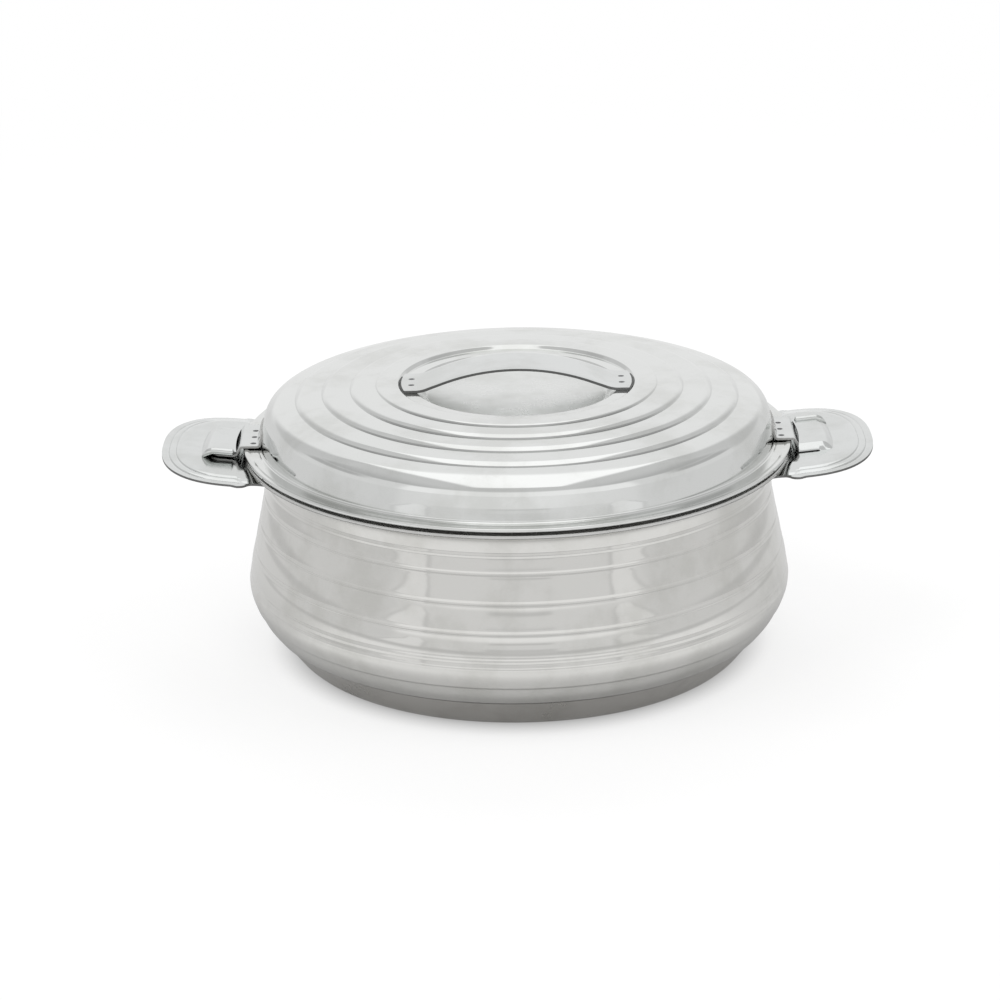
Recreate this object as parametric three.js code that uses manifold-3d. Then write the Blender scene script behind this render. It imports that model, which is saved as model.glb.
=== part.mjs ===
// An insulated steel casserole for keeping flat breads warm: a double-walled pot with two
// pressed side handles, and a foam-filled lid that locks to the handles by a short turn.
// Lengths are in millimetres, +Z is up and the origin is the centre of the base. The side
// handles lie along X. The lid is shown locked, as it is in use.

import * as THREE from 'three';
import { mergeVertices } from 'three/addons/utils/BufferGeometryUtils.js';
import Module from 'manifold-3d';

const wasm = await Module();
wasm.setup();

// Sheets, clearances and roundness
const gap = 0.3;
const shellSheet = 0.6;
const pressedSheet = 1.2;
const cutOverrun = 4;
const turnSegments = 32;
const fineTurnSegments = 96;

// Outer shell of the pot, from the seam with the base cap up to the neck. The belly's radius
// carries all the other radii of the pot and of the lid's edge.
const bellyRadius = 140.7;
const bellyHeight = 37;
const shoulderInset = 2.5;
const shoulderHeight = 27.2;
const seamInset = 9.2;
const seamHeight = 17.2;
const ringRise = 0.5;
const ringWidth = 2.6;

// Rim, where the shell flares out and the bowl's sheet turns over it and is hemmed round it
const rimOverhang = 0.3;
const rimEdgeHeight = 108.1;
const flareWidth = 10.5;
const flareRise = 11.1;
const rimSlopeWidth = 8;
const rimSlopeRise = 1.7;
const rimHemDepth = 1.5;
const rimHemRound = 0.6;

// Inner bowl
const rimWidth = 20;
const bowlTaper = 5;
const bowlFloorHeight = 14;
const bowlCornerRound = 18;
const bowlCornerSteps = 4;
const bowlMouthRound = 2.6;
const bowlMouthSteps = 3;

// Base cap and the plug in its filling hole
const footInset = 16.5;
const footRingWidth = 10;
const footTurnRun = 4.5;
const footTurnRise = 3;
const baseRecessDepth = 2.5;
const capLap = 5;
const fillHoleRadius = 8;
const plugHeadLap = 3.5;
const plugHeadThickness = 1.2;
const plugStemLength = 3.6;

// Lid
const flangeOverhang = 0.5;
const flangeWidth = 9;
const flangeLipDepth = 1.2;
const flangeRollWidth = 3.3;
const flangeRollRise = 0.3;
const lidRise = 29.6;
const terraceStepRise = 0.8;
const terraceStepWidth = 1.2;
const recessRadius = 59.9;
const recessLipRound = 1.2;
const ledgeWidth = 7.4;
const ledgeDepth = 1.8;
const recessSlopeRun = 6.2;
const recessDepth = 7;

// Liner under the lid, which plugs into the bowl's mouth
const linerMouthClearance = 2.5;
const linerPlugDepth = 9;
const linerRingWidth = 11;
const linerDishRise = 7;
const linerCornerRound = 2.2;
const linerTurnWidth = 3.3;

// Strap handle on the lid
const strapEndClearance = 0.6;
const strapFootLength = 10.8;
const strapWidth = 28.7;
const strapArchRise = 11.3;
const strapHemDepth = 0.5;
const strapArchSteps = 14;

// Side handles: a pressed plate that slopes up from its root under the rim
const handleRootInset = 1;
const handleRootDrop = 3.6;
const handleSlope = THREE.MathUtils.degToRad(6);
const plateRimLap = 5;
const plateReach = 38.7;
const plateCrownRun = 5;
const plateHalfWidth = 52;
const plateCornerFlare = 1.9;
const plateRoundness = 2.5;
const plateOutlineSteps = 22;
const terraceInsets = [3.7, 7.3];
const plateTerraceRise = 0.9;
const terraceRootRun = 2;
const armInset = 4;
const armWidth = 10;
const armShoulderRun = 4.5;
const tabDrop = 6.5;

// Lock bracket on the lid, and the pocket in each side handle that it turns into
const bracketHalfWidth = 17.5;
const bracketLegHeight = 9;
const bracketEdgeClearance = 0.5;
const bracketBendRun = 3.3;
const tongueLength = 11.7;
const tongueClearance = 0.7;
const tongueTipClearance = 1.3;
const pocketSideClearance = 0.5;
const pocketMouthLap = 1.5;
const pocketRoofSetback = 1.9;
const pocketRampRun = 3.5;
const mouthRollRadius = 1.3;
const mouthRollSides = 12;

// Foam keeps this much clear of the stems of the filling plugs
const stemClearance = 1;

// Derived radii
const seamRadius = bellyRadius - seamInset;
const footRadius = seamRadius - footInset;
const capWallFootRadius = footRadius + footTurnRun;
const rimRadius = bellyRadius + rimOverhang;
const neckRadius = rimRadius - flareWidth;
const bowlMouthRadius = rimRadius - rimWidth;
const bowlFootRadius = bowlMouthRadius - bowlTaper;
const plugHeadRadius = fillHoleRadius + plugHeadLap;
const flangeRadius = rimRadius + flangeOverhang;
const lidWallRadius = flangeRadius - flangeWidth;
const recessLipRadius = recessRadius + recessLipRound;
const strapHalfLength = recessRadius - strapEndClearance;
const strapArchHalfLength = strapHalfLength - strapFootLength;
const plateInnerRadius = flangeRadius - plateRimLap;

// Derived levels
const neckHeight = rimEdgeHeight - flareRise;
const rimSeatHeight = rimEdgeHeight + rimSlopeRise;
const linerUnderside = rimSeatHeight + gap;
const dishUnderside = linerUnderside - linerPlugDepth + linerDishRise;
const flangeHeight = linerUnderside + shellSheet + gap + shellSheet;
const lidTopHeight = flangeHeight + lidRise;
const ledgeHeight = lidTopHeight - ledgeDepth;

// Derived places along a side handle, and levels above its lower face
const handleRootX = rimRadius - handleRootInset;
const handleRootHeight = rimEdgeHeight - handleRootDrop;
const armHalfWidth = plateHalfWidth - armInset;
const bracketBendX = flangeRadius + bracketEdgeClearance;
const tongueStartX = bracketBendX + bracketBendRun;
const tongueEndX = tongueStartX + tongueLength;
const pocketOuterX = tongueEndX + tongueTipClearance + pressedSheet;
const plateField = pressedSheet + terraceInsets.length * plateTerraceRise;
const tongueBottom = plateField + tongueClearance;
const roofBottom = tongueBottom + pressedSheet + tongueClearance;

// Each row gives the share of the rise from belly to neck, then the share of the narrowing
const bodyRiseShares = [[0.12, 0.1], [0.23, 0.21], [0.34, 0.36], [0.5, 0.55], [0.75, 0.85]];
// Heights of the pressed rings, as shares of the rise from the belly to the neck
const ringHeightShares = [0.025, 0.098, 0.317, 0.558, 0.7995, 0.951];
// Each row gives the share of the flare's width, then the share of its rise
const flareShares = [[0.06, 0.36], [0.25, 0.68], [0.56, 0.88]];
// A point on the turn from the foot to the cap's wall: share of its run, then of its rise
const footTurnShares = [0.6, 0.33];
// The roll along the lid's edge is level between these shares of its width
const rollCrownShares = [0.25, 0.75];
// The lid above its wall: share of the way from the recess's lip out to the wall, then share
// of the lid's rise
const lidWallTopShares = [0.959, 0.52];
const lidShoulderShares = [[0.9165, 0.571], [0.872, 0.686]];
const lidTerraceShares = [[0.728, 0.78], [0.536, 0.878], [0.332, 0.936], [0.1445, 0.986]];

// Points, lines and turned solids

function point(radius, height) {
  return new THREE.Vector2(radius, height);
}

// Moves a line sideways by the given distance, to the left of the way it runs.
function offsetLine(line, distance) {
  return line.map((here, i) => {
    const last = line.length - 1;
    const arriving = line[Math.max(i, 1)].clone().sub(line[Math.max(i, 1) - 1]).normalize();
    const leaving = line[Math.min(i, last - 1) + 1].clone().sub(line[Math.min(i, last - 1)]).normalize();
    const side = new THREE.Vector2(-arriving.y - leaving.y, arriving.x + leaving.x).normalize();
    const squareToArriving = new THREE.Vector2(-arriving.y, arriving.x);
    return here.clone().addScaledVector(side, distance / side.dot(squareToArriving));
  });
}

// A line with the same line moved sideways makes the section of a sheet.
function sheetSection(line, sheet) {
  return [...line, ...offsetLine(line, sheet).reverse()];
}

// Turns a section about Z. It starts and ends on the axis or is closed on itself, and is
// run anticlockwise so that the faces point out.
function turned(section, segments = turnSegments) {
  const ordered = THREE.ShapeUtils.area(section) < 0 ? [...section].reverse() : [...section];
  if (section[0].x > 0) {
    ordered.push(ordered[0].clone());
  }
  return new THREE.LatheGeometry(ordered, segments).rotateX(Math.PI / 2);
}

function radiusAlong(line, height) {
  const upper = line.findIndex((p) => p.y >= height);
  const low = line[upper - 1];
  const high = line[upper];
  return THREE.MathUtils.mapLinear(height, low.y, high.y, low.x, high.x);
}

function quarterTurn(centre, round, fromAngle, toAngle, steps) {
  const points = [];
  for (let i = 0; i <= steps; i++) {
    const angle = THREE.MathUtils.lerp(fromAngle, toAngle, i / steps);
    points.push(point(centre.x + round * Math.cos(angle), centre.y + round * Math.sin(angle)));
  }
  return points;
}

// Joining and cutting

function solidOf(geometry) {
  const bare = geometry.clone();
  bare.deleteAttribute('normal');
  bare.deleteAttribute('uv');
  const merged = mergeVertices(bare);
  const corners = merged.index.array;
  const triangles = [];
  for (let i = 0; i < corners.length; i += 3) {
    const [a, b, c] = corners.slice(i, i + 3);
    if (a !== b && b !== c && c !== a) {
      triangles.push(a, b, c);
    }
  }
  return new wasm.Manifold(new wasm.Mesh({
    numProp: 3,
    vertProperties: new Float32Array(merged.attributes.position.array),
    triVerts: new Uint32Array(triangles),
  }));
}

function geometryOf(solid) {
  const mesh = solid.getMesh();
  const geometry = new THREE.BufferGeometry();
  geometry.setAttribute('position', new THREE.BufferAttribute(mesh.vertProperties, 3));
  geometry.setIndex(new THREE.BufferAttribute(mesh.triVerts, 1));
  geometry.computeVertexNormals();
  return geometry;
}

function joined(geometries) {
  return geometries.map(solidOf).reduce((whole, next) => whole.add(next));
}

// A flat outline in X and Y, raised from one level to another.
function slab(outline, bottom, top) {
  const shape = new THREE.Shape(outline);
  return new THREE.ExtrudeGeometry(shape, { depth: top - bottom, bevelEnabled: false })
    .translate(0, 0, bottom);
}

// An outline in X and Z, run along Y.
function bar(outline, fromY, toY) {
  const shape = new THREE.Shape(outline);
  return new THREE.ExtrudeGeometry(shape, { depth: toY - fromY, bevelEnabled: false })
    .rotateX(Math.PI / 2)
    .translate(0, toY, 0);
}

// An outline in Y and Z, run along X.
function runAlongX(outline, fromX, toX) {
  const shape = new THREE.Shape(outline);
  return new THREE.ExtrudeGeometry(shape, { depth: toX - fromX, bevelEnabled: false })
    .rotateX(Math.PI / 2)
    .rotateZ(Math.PI / 2)
    .translate(fromX, 0, 0);
}

function box(from, to) {
  const size = to.map((value, i) => value - from[i]);
  return new THREE.BoxGeometry(...size)
    .translate(...from.map((value, i) => value + size[i] / 2));
}

// The pot's outer line

function shellLine() {
  const shoulder = point(bellyRadius - shoulderInset, shoulderHeight);
  const lower = [point(seamRadius, seamHeight), shoulder];
  const belly = point(bellyRadius, bellyHeight);
  const upper = bodyRiseShares.map(([rise, narrowing]) => point(
    THREE.MathUtils.lerp(bellyRadius, neckRadius, narrowing),
    THREE.MathUtils.lerp(bellyHeight, neckHeight, rise),
  ));
  return [...lower, belly, ...upper, point(neckRadius, neckHeight)];
}

function flareLine() {
  const endRadius = rimRadius - shellSheet - gap;
  const endHeight = rimEdgeHeight - 2 * shellSheet;
  const within = flareShares.map(([width, rise]) => point(
    THREE.MathUtils.lerp(neckRadius, endRadius, width),
    THREE.MathUtils.lerp(neckHeight, endHeight, rise),
  ));
  return [...within, point(endRadius, endHeight)];
}

// The same line with its pressed rings.
function ringedShellLine() {
  const plain = shellLine();
  const middles = ringHeightShares.map(
    (share) => THREE.MathUtils.lerp(bellyHeight, neckHeight, share),
  );
  const rings = middles.flatMap((middle) => (
    [-1, 0, 1].map((side) => {
      const height = middle + side * ringWidth / 2;
      return point(radiusAlong(plain, height) + (side === 0 ? ringRise : 0), height);
    })
  ));
  const clearOfRings = plain.filter(
    (p) => middles.every((middle) => Math.abs(p.y - middle) > ringWidth),
  );
  return [...clearOfRings, ...rings].sort((a, b) => a.y - b.y);
}

function outerShell() {
  const outside = [...ringedShellLine(), ...flareLine()];
  const inside = offsetLine([...shellLine(), ...flareLine()], shellSheet);
  return turned([...outside, ...inside.reverse()]);
}

// Inner bowl: floor, wall, the flat that carries the lid, and the hem round the shell's edge.
function bowlLine() {
  const cornerCentre = point(bowlFootRadius - bowlCornerRound, bowlFloorHeight + bowlCornerRound);
  const corner = quarterTurn(cornerCentre, bowlCornerRound, -Math.PI / 2, 0, bowlCornerSteps);
  const mouthCentre = point(bowlMouthRadius + bowlMouthRound, rimSeatHeight - bowlMouthRound);
  const mouth = quarterTurn(mouthCentre, bowlMouthRound, Math.PI, Math.PI / 2, bowlMouthSteps);
  return [point(0, bowlFloorHeight), ...corner, ...mouth];
}

function rimLine() {
  return [
    point(rimRadius - rimSlopeWidth, rimSeatHeight),
    point(rimRadius - rimHemRound, rimEdgeHeight + rimHemRound / 2),
    point(rimRadius, rimEdgeHeight - rimHemRound / 2),
    point(rimRadius, rimEdgeHeight - rimHemDepth),
  ];
}

function innerBowl() {
  return turned(sheetSection([...bowlLine(), ...rimLine()], -shellSheet));
}

// Base cap: a raised middle, a foot ring, and a wall whose lip runs up inside the shell.
function capLine() {
  const lip = offsetLine(shellLine(), shellSheet + gap);
  const lipRun = lip[1].clone().sub(lip[0]).setLength(capLap);
  const [turnRun, turnRise] = footTurnShares;
  return [
    point(footRadius - footRingWidth - baseRecessDepth, baseRecessDepth),
    point(footRadius - footRingWidth, 0),
    point(footRadius, 0),
    point(footRadius + turnRun * footTurnRun, turnRise * footTurnRise),
    point(capWallFootRadius, footTurnRise),
    lip[0],
    lip[0].clone().add(lipRun),
  ];
}

function baseCap() {
  return turned(sheetSection([point(fillHoleRadius, baseRecessDepth), ...capLine()], shellSheet));
}

// A plug pushed up into a filling hole, its head under the sheet.
function fillPlug(sheetUnderside) {
  const headTop = sheetUnderside - gap;
  const stemTop = sheetUnderside + shellSheet + plugStemLength;
  return turned([
    point(0, headTop - plugHeadThickness),
    point(plugHeadRadius, headTop - plugHeadThickness),
    point(plugHeadRadius, headTop),
    point(fillHoleRadius - gap, headTop),
    point(fillHoleRadius - gap, stemTop),
    point(0, stemTop),
  ]);
}

// Foam's hollow over a plug's stem, from the axis out to the foam's lower face.
function stemHollow(sheetUnderside) {
  const roof = sheetUnderside + shellSheet + plugStemLength + stemClearance;
  const radius = fillHoleRadius + stemClearance;
  return [point(0, roof), point(radius, roof), point(radius, sheetUnderside + shellSheet + gap)];
}

function bodyFoam() {
  const clear = shellSheet + gap;
  const bottom = offsetLine(capLine(), clear);
  const wall = offsetLine(shellLine(), clear);
  const aboveLip = wall[0].clone().add(wall[1].clone().sub(wall[0]).setLength(capLap + clear));
  const bowlSide = offsetLine(bowlLine().slice(0, -bowlMouthSteps), -clear).reverse();
  const top = point(neckRadius - clear, neckHeight);
  const innerTop = point(bowlSide[0].x, neckHeight);
  return turned([
    ...stemHollow(baseRecessDepth), ...bottom, aboveLip, ...wall.slice(1, -1), top, innerTop,
    ...bowlSide.slice(1),
  ]);
}

// Lid

function lidPoint([radiusShare, riseShare]) {
  return point(
    THREE.MathUtils.lerp(recessLipRadius, lidWallRadius, radiusShare),
    flangeHeight + riseShare * lidRise,
  );
}

function lidFlangeLine() {
  const rollInner = flangeRadius - flangeRollWidth;
  const rollTop = flangeHeight + flangeRollRise;
  return [
    point(flangeRadius, flangeHeight - flangeLipDepth),
    point(flangeRadius, flangeHeight - flangeRollRise),
    ...rollCrownShares.map((share) => point(flangeRadius - share * flangeRollWidth, rollTop)),
    point(rollInner, flangeHeight),
  ];
}

function lidWallLine() {
  return [
    point(lidWallRadius, flangeHeight),
    lidPoint(lidWallTopShares),
    ...lidShoulderShares.map(lidPoint),
  ];
}

function lidTerraceLine() {
  return lidTerraceShares.map(lidPoint).flatMap((edge) => [
    point(edge.x + terraceStepWidth / 2, edge.y - terraceStepRise / 2),
    point(edge.x - terraceStepWidth / 2, edge.y + terraceStepRise / 2),
  ]);
}

function lidRecessLine() {
  return [
    point(recessLipRadius, lidTopHeight),
    point(recessRadius, lidTopHeight - recessLipRound / 2),
    point(recessRadius - gap, ledgeHeight),
    point(recessRadius - ledgeWidth, ledgeHeight),
    point(recessRadius - ledgeWidth - recessSlopeRun, lidTopHeight - recessDepth),
    point(0, lidTopHeight - recessDepth),
  ];
}

function lidTopShell() {
  const line = [...lidFlangeLine(), ...lidWallLine(), ...lidTerraceLine(), ...lidRecessLine()];
  return turned(sheetSection(line, shellSheet));
}

function linerLine() {
  const plugRadius = bowlMouthRadius - linerMouthClearance;
  const bottom = linerUnderside - linerPlugDepth;
  const ringInner = plugRadius - linerRingWidth;
  return [
    point(flangeRadius - flangeRollWidth - gap, linerUnderside),
    point(plugRadius + linerTurnWidth, linerUnderside),
    point(plugRadius + linerCornerRound / 2, linerUnderside - linerCornerRound),
    point(plugRadius, bottom + linerCornerRound),
    point(plugRadius - linerCornerRound, bottom),
    point(ringInner, bottom),
    point(ringInner - linerDishRise, bottom + linerDishRise),
  ];
}

function lidLiner() {
  return turned(sheetSection([...linerLine(), point(fillHoleRadius, dishUnderside)], -shellSheet));
}

function lidFoam() {
  const clear = shellSheet + gap;
  const below = offsetLine([...linerLine(), point(0, dishUnderside)], -clear);
  const edge = point(lidWallRadius - 2 * clear, flangeHeight - gap);
  const above = offsetLine([
    ...lidWallLine(), ...lidTerraceShares.map(lidPoint),
    ...lidRecessLine().filter((p) => p.y < lidTopHeight - recessLipRound),
  ], clear + terraceStepRise);
  const underneath = below.slice(1, -1).reverse();
  return turned([...stemHollow(dishUnderside), ...underneath, edge, ...above.slice(1)]);
}

// Strap handle: two flat feet on the ledge of the recess, an arch between them, and hems
// turned down along both edges of the arch.
function archPoints(halfLength, rise, level) {
  const radius = (halfLength ** 2 + rise ** 2) / (2 * rise);
  const reach = Math.asin(halfLength / radius);
  const points = [];
  for (let i = 0; i <= strapArchSteps; i++) {
    const angle = THREE.MathUtils.lerp(-reach, reach, i / strapArchSteps);
    points.push(point(radius * Math.sin(angle), level + rise - radius * (1 - Math.cos(angle))));
  }
  return points;
}

function strapHandle() {
  const underside = ledgeHeight + gap;
  const arch = archPoints(strapArchHalfLength, strapArchRise, underside);
  const line = [point(-strapHalfLength, underside), ...arch, point(strapHalfLength, underside)];
  const strap = bar(sheetSection(line, pressedSheet), -strapWidth / 2, strapWidth / 2);
  const hemLine = arch.slice(1, -1);
  const hems = [-1, 1].map((side) => {
    const outer = side * strapWidth / 2;
    const inner = outer - side * pressedSheet;
    return bar([...hemLine, ...offsetLine(hemLine, -strapHemDepth).reverse()],
      Math.min(outer, inner), Math.max(outer, inner));
  });
  const ends = new THREE.CylinderGeometry(strapHalfLength, strapHalfLength,
    2 * (strapArchRise + cutOverrun), fineTurnSegments).rotateX(Math.PI / 2)
    .translate(0, 0, ledgeHeight + strapArchRise);
  return geometryOf(joined([strap, ...hems]).intersect(solidOf(ends)));
}

// Side handle, made on the +X side in its own flat frame and then sloped up from the root

function sloped(geometry) {
  return geometry.translate(-handleRootX, 0, 0)
    .rotateY(-handleSlope)
    .translate(handleRootX, 0, handleRootHeight - pressedSheet);
}

// The height in the part's frame of a level in the plate's own frame.
function plateHeight(x, level) {
  return handleRootHeight - pressedSheet + level / Math.cos(handleSlope)
    + (x - handleRootX) * Math.tan(handleSlope);
}

// The plate's rounded outer edge, from the front to the back.
function roundedEdge(inset) {
  const points = [];
  for (let i = 0; i <= plateOutlineSteps; i++) {
    const angle = Math.PI * (i / plateOutlineSteps - 1 / 2);
    const across = Math.abs(Math.sin(angle)) ** (2 / plateRoundness);
    const along = Math.abs(Math.cos(angle)) ** (2 / plateRoundness);
    points.push(point(
      handleRootX + plateCrownRun + (plateReach - inset) * along,
      Math.sign(Math.sin(angle)) * (plateHalfWidth - inset) * across,
    ));
  }
  return points;
}

function plateOutline() {
  const armInner = armHalfWidth - armWidth;
  const reach = Math.asin(armInner / plateInnerRadius);
  const innerArc = quarterTurn(point(0, 0), plateInnerRadius, reach, -reach, plateOutlineSteps / 2);
  const armEnd = neckRadius - armHalfWidth / 2;
  const half = (side) => [
    point(armEnd, side * armInner),
    point(armEnd, side * armHalfWidth),
    point(handleRootX - armShoulderRun, side * armHalfWidth),
    point(handleRootX, side * (plateHalfWidth + plateCornerFlare)),
  ];
  return [...half(-1), ...roundedEdge(0), ...half(1).reverse(), ...innerArc];
}

function terraceOutline(inset) {
  const rootX = handleRootX + terraceRootRun;
  return [
    point(rootX, inset - plateHalfWidth),
    ...roundedEdge(inset),
    point(rootX, plateHalfWidth - inset),
  ];
}

// The plate and its two raised terraces, hollow below so that it stays a sheet.
function handlePlate() {
  const levels = terraceInsets.map((inset, i) => [inset, pressedSheet + (i + 1) * plateTerraceRise]);
  const raised = levels.map(([inset, top]) => slab(terraceOutline(inset), 0, top));
  const hollows = levels.map(([inset, top]) => (
    slab(terraceOutline(inset + pressedSheet), -cutOverrun, top - pressedSheet)
  ));
  return joined([slab(plateOutline(), 0, pressedSheet), ...raised]).subtract(joined(hollows));
}

// A roof over the plate with a ramp on its outer side and on one end. It is open towards the
// pot and on the side that the tongue turns in from.
function pocket() {
  const closedY = -bracketHalfWidth - pocketSideClearance;
  const openY = bracketHalfWidth + pocketMouthLap;
  const roofTop = roofBottom + pressedSheet;
  const rampFoot = pocketOuterX + pocketRampRun;
  const roofAndOuterWall = bar([
    point(handleRootX, roofBottom), point(pocketOuterX - pressedSheet, roofBottom),
    point(rampFoot - pressedSheet, plateField - pressedSheet), point(rampFoot, plateField - pressedSheet),
    point(rampFoot, plateField), point(pocketOuterX, roofTop), point(handleRootX, roofTop),
  ], closedY - pressedSheet, openY);
  const closedWall = runAlongX([
    point(closedY - pressedSheet, roofTop), point(closedY - pressedSheet - pocketRampRun, plateField),
    point(closedY - pressedSheet - pocketRampRun, plateField - pressedSheet),
    point(closedY - pressedSheet, plateField - pressedSheet), point(closedY, roofBottom),
    point(closedY, roofTop),
  ], handleRootX, pocketOuterX);
  const roll = new THREE.CylinderGeometry(mouthRollRadius, mouthRollRadius,
    pocketOuterX - handleRootX, mouthRollSides).rotateZ(Math.PI / 2)
    .translate((pocketOuterX + handleRootX) / 2, openY, roofBottom + mouthRollRadius);
  return joined([roofAndOuterWall, closedWall, roll]);
}

// Tabs turned down from the two arms, which lie against the neck and are welded to it.
function weldTabs() {
  const outside = [...shellLine(), ...flareLine()];
  const thickness = gap + ringRise + pressedSheet;
  const ring = solidOf(turned([
    ...offsetLine(outside, -thickness), ...outside.reverse(),
  ]));
  const armMiddle = armHalfWidth - armWidth / 2;
  const armEndX = Math.sqrt(neckRadius ** 2 - armMiddle ** 2);
  const top = plateHeight(armEndX, pressedSheet / 2);
  const spans = [-1, 1].map((side) => {
    const edges = [side * armHalfWidth, side * (armHalfWidth - armWidth)].sort((a, b) => a - b);
    return box([0, edges[0], top - tabDrop], [rimRadius, edges[1], top]);
  });
  return ring.intersect(joined(spans));
}

function sideHandle() {
  const neckCore = turned([
    point(0, seamHeight), ...offsetLine([...ringedShellLine(), ...flareLine()], -gap),
    point(0, rimEdgeHeight),
  ]);
  const roofEdgeRadius = tongueStartX + pocketRoofSetback;
  const roofTrim = new THREE.CylinderGeometry(roofEdgeRadius, roofEdgeRadius,
    2 * handleRootHeight, fineTurnSegments).rotateX(Math.PI / 2)
    .translate(0, 0, handleRootHeight);
  const plate = solidOf(sloped(geometryOf(handlePlate())));
  const roof = solidOf(sloped(geometryOf(pocket()))).subtract(solidOf(roofTrim));
  return geometryOf(plate.add(roof).add(weldTabs()).subtract(solidOf(neckCore)));
}

// Lock bracket: a leg up the lid's wall, a flat on the flange, and a tongue that drops past
// the rim and lies under the handle's pocket.
function lockBracket() {
  const clearAbove = flangeHeight + flangeRollRise + gap;
  const strap = bar(sheetSection([
    point(lidWallRadius - cutOverrun, clearAbove),
    point(bracketBendX, clearAbove),
    point(tongueStartX, plateHeight(tongueStartX, tongueBottom)),
    point(tongueEndX, plateHeight(tongueEndX, tongueBottom)),
  ], pressedSheet), -bracketHalfWidth, bracketHalfWidth);
  const wall = lidWallLine().slice(0, 2);
  const legSection = [...offsetLine(wall, -gap), ...offsetLine(wall, -gap - pressedSheet).reverse()];
  const leg = solidOf(turned(legSection));
  const legSpan = box([0, -bracketHalfWidth, clearAbove],
    [flangeRadius, bracketHalfWidth, clearAbove + bracketLegHeight]);
  const lidCore = turned([point(0, flangeHeight - cutOverrun),
    point(lidWallRadius, flangeHeight - cutOverrun),
    ...offsetLine(wall, -gap), point(0, wall[1].y)]);
  return geometryOf(solidOf(strap).add(leg.intersect(solidOf(legSpan))).subtract(solidOf(lidCore)));
}

// Materials, from the photograph

const polishedSteel = new THREE.MeshStandardMaterial({ color: 0xc9cac8, roughness: 0.24, metalness: 1 });
const lidSteel = new THREE.MeshStandardMaterial({ color: 0xcfd1cf, roughness: 0.2, metalness: 1 });
const bowlSteel = new THREE.MeshStandardMaterial({ color: 0xc4c5c4, roughness: 0.3, metalness: 1 });
const handleSteel = new THREE.MeshStandardMaterial({ color: 0xc6cac9, roughness: 0.18, metalness: 1 });
const foam = new THREE.MeshStandardMaterial({ color: 0xe6d9a8, roughness: 0.95, metalness: 0 });
const plugPlastic = new THREE.MeshStandardMaterial({ color: 0x3a3c3e, roughness: 0.6, metalness: 0 });

function piece(name, geometry, material) {
  const mesh = new THREE.Mesh(geometry, material);
  mesh.name = name;
  return mesh;
}

// The same piece on the other side of the axis, turned half round.
function opposite(mesh, name) {
  const other = mesh.clone();
  other.name = name;
  other.rotation.z = Math.PI;
  return other;
}

const pot = new THREE.Group();
const handleRight = piece('handle_right', sideHandle(), handleSteel);
pot.add(
  piece('base_cap', baseCap(), polishedSteel),
  piece('base_fill_plug', fillPlug(baseRecessDepth), plugPlastic),
  piece('outer_shell', outerShell(), polishedSteel),
  piece('body_insulation', bodyFoam(), foam),
  piece('inner_bowl', innerBowl(), bowlSteel),
  handleRight,
  opposite(handleRight, 'handle_left'),
);

const lid = new THREE.Group();
const bracketRight = piece('lock_bracket_right', lockBracket(), handleSteel);
lid.add(
  piece('lid_liner', lidLiner(), bowlSteel),
  piece('lid_fill_plug', fillPlug(dishUnderside), plugPlastic),
  piece('lid_insulation', lidFoam(), foam),
  piece('lid_top_shell', lidTopShell(), lidSteel),
  piece('lid_strap_handle', strapHandle(), handleSteel),
  bracketRight,
  opposite(bracketRight, 'lock_bracket_left'),
);

const casserole = new THREE.Group();
casserole.add(pot, lid);

export default casserole;
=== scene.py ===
# %% [markdown]
# An insulated steel casserole for flat breads. The pot is two shells of thin sheet with foam
# between them. The lid is built the same way and carries a strap handle. Two brackets on the
# lid turn into raised pockets in the pot's side handles, and that locks it.
#
# The packed model gives the place and size of every piece. This lesson puts a fine, softly
# rounded skin over it, piece by piece, and gives each piece the finish of pressed steel.

# %% Load the packed model, with a reader for the boxes of its pieces
import math

import bmesh
import bpy
from mathutils import Matrix, Quaternion, Vector, geometry


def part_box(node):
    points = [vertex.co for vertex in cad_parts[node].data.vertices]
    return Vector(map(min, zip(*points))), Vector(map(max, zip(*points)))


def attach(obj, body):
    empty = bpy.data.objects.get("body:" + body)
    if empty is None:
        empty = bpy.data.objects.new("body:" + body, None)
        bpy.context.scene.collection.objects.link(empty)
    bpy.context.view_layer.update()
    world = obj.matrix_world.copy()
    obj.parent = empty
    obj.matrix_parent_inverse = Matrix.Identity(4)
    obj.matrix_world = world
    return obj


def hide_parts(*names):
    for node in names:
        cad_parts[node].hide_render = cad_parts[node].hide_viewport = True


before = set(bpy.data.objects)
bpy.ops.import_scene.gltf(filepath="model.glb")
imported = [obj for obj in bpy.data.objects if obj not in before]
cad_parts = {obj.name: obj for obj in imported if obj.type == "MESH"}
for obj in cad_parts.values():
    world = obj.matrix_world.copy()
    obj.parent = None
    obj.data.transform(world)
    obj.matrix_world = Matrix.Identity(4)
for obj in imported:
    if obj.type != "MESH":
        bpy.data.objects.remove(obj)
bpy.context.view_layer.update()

# %% [markdown]
# The drawings of the pot are in millimetres, and Blender works in metres. So every section
# below is written in millimetres and turned into metres when its mesh is made. Sizes that
# the packed model can tell are read from its pieces' boxes.

# %% Sizes in millimetres, from the packed model and from the drawing of the pot
MM = 0.001


def box_of(node):
    """Lowest and highest corner of a packed piece, in millimetres."""
    low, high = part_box(node)
    return low / MM, high / MM


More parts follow.
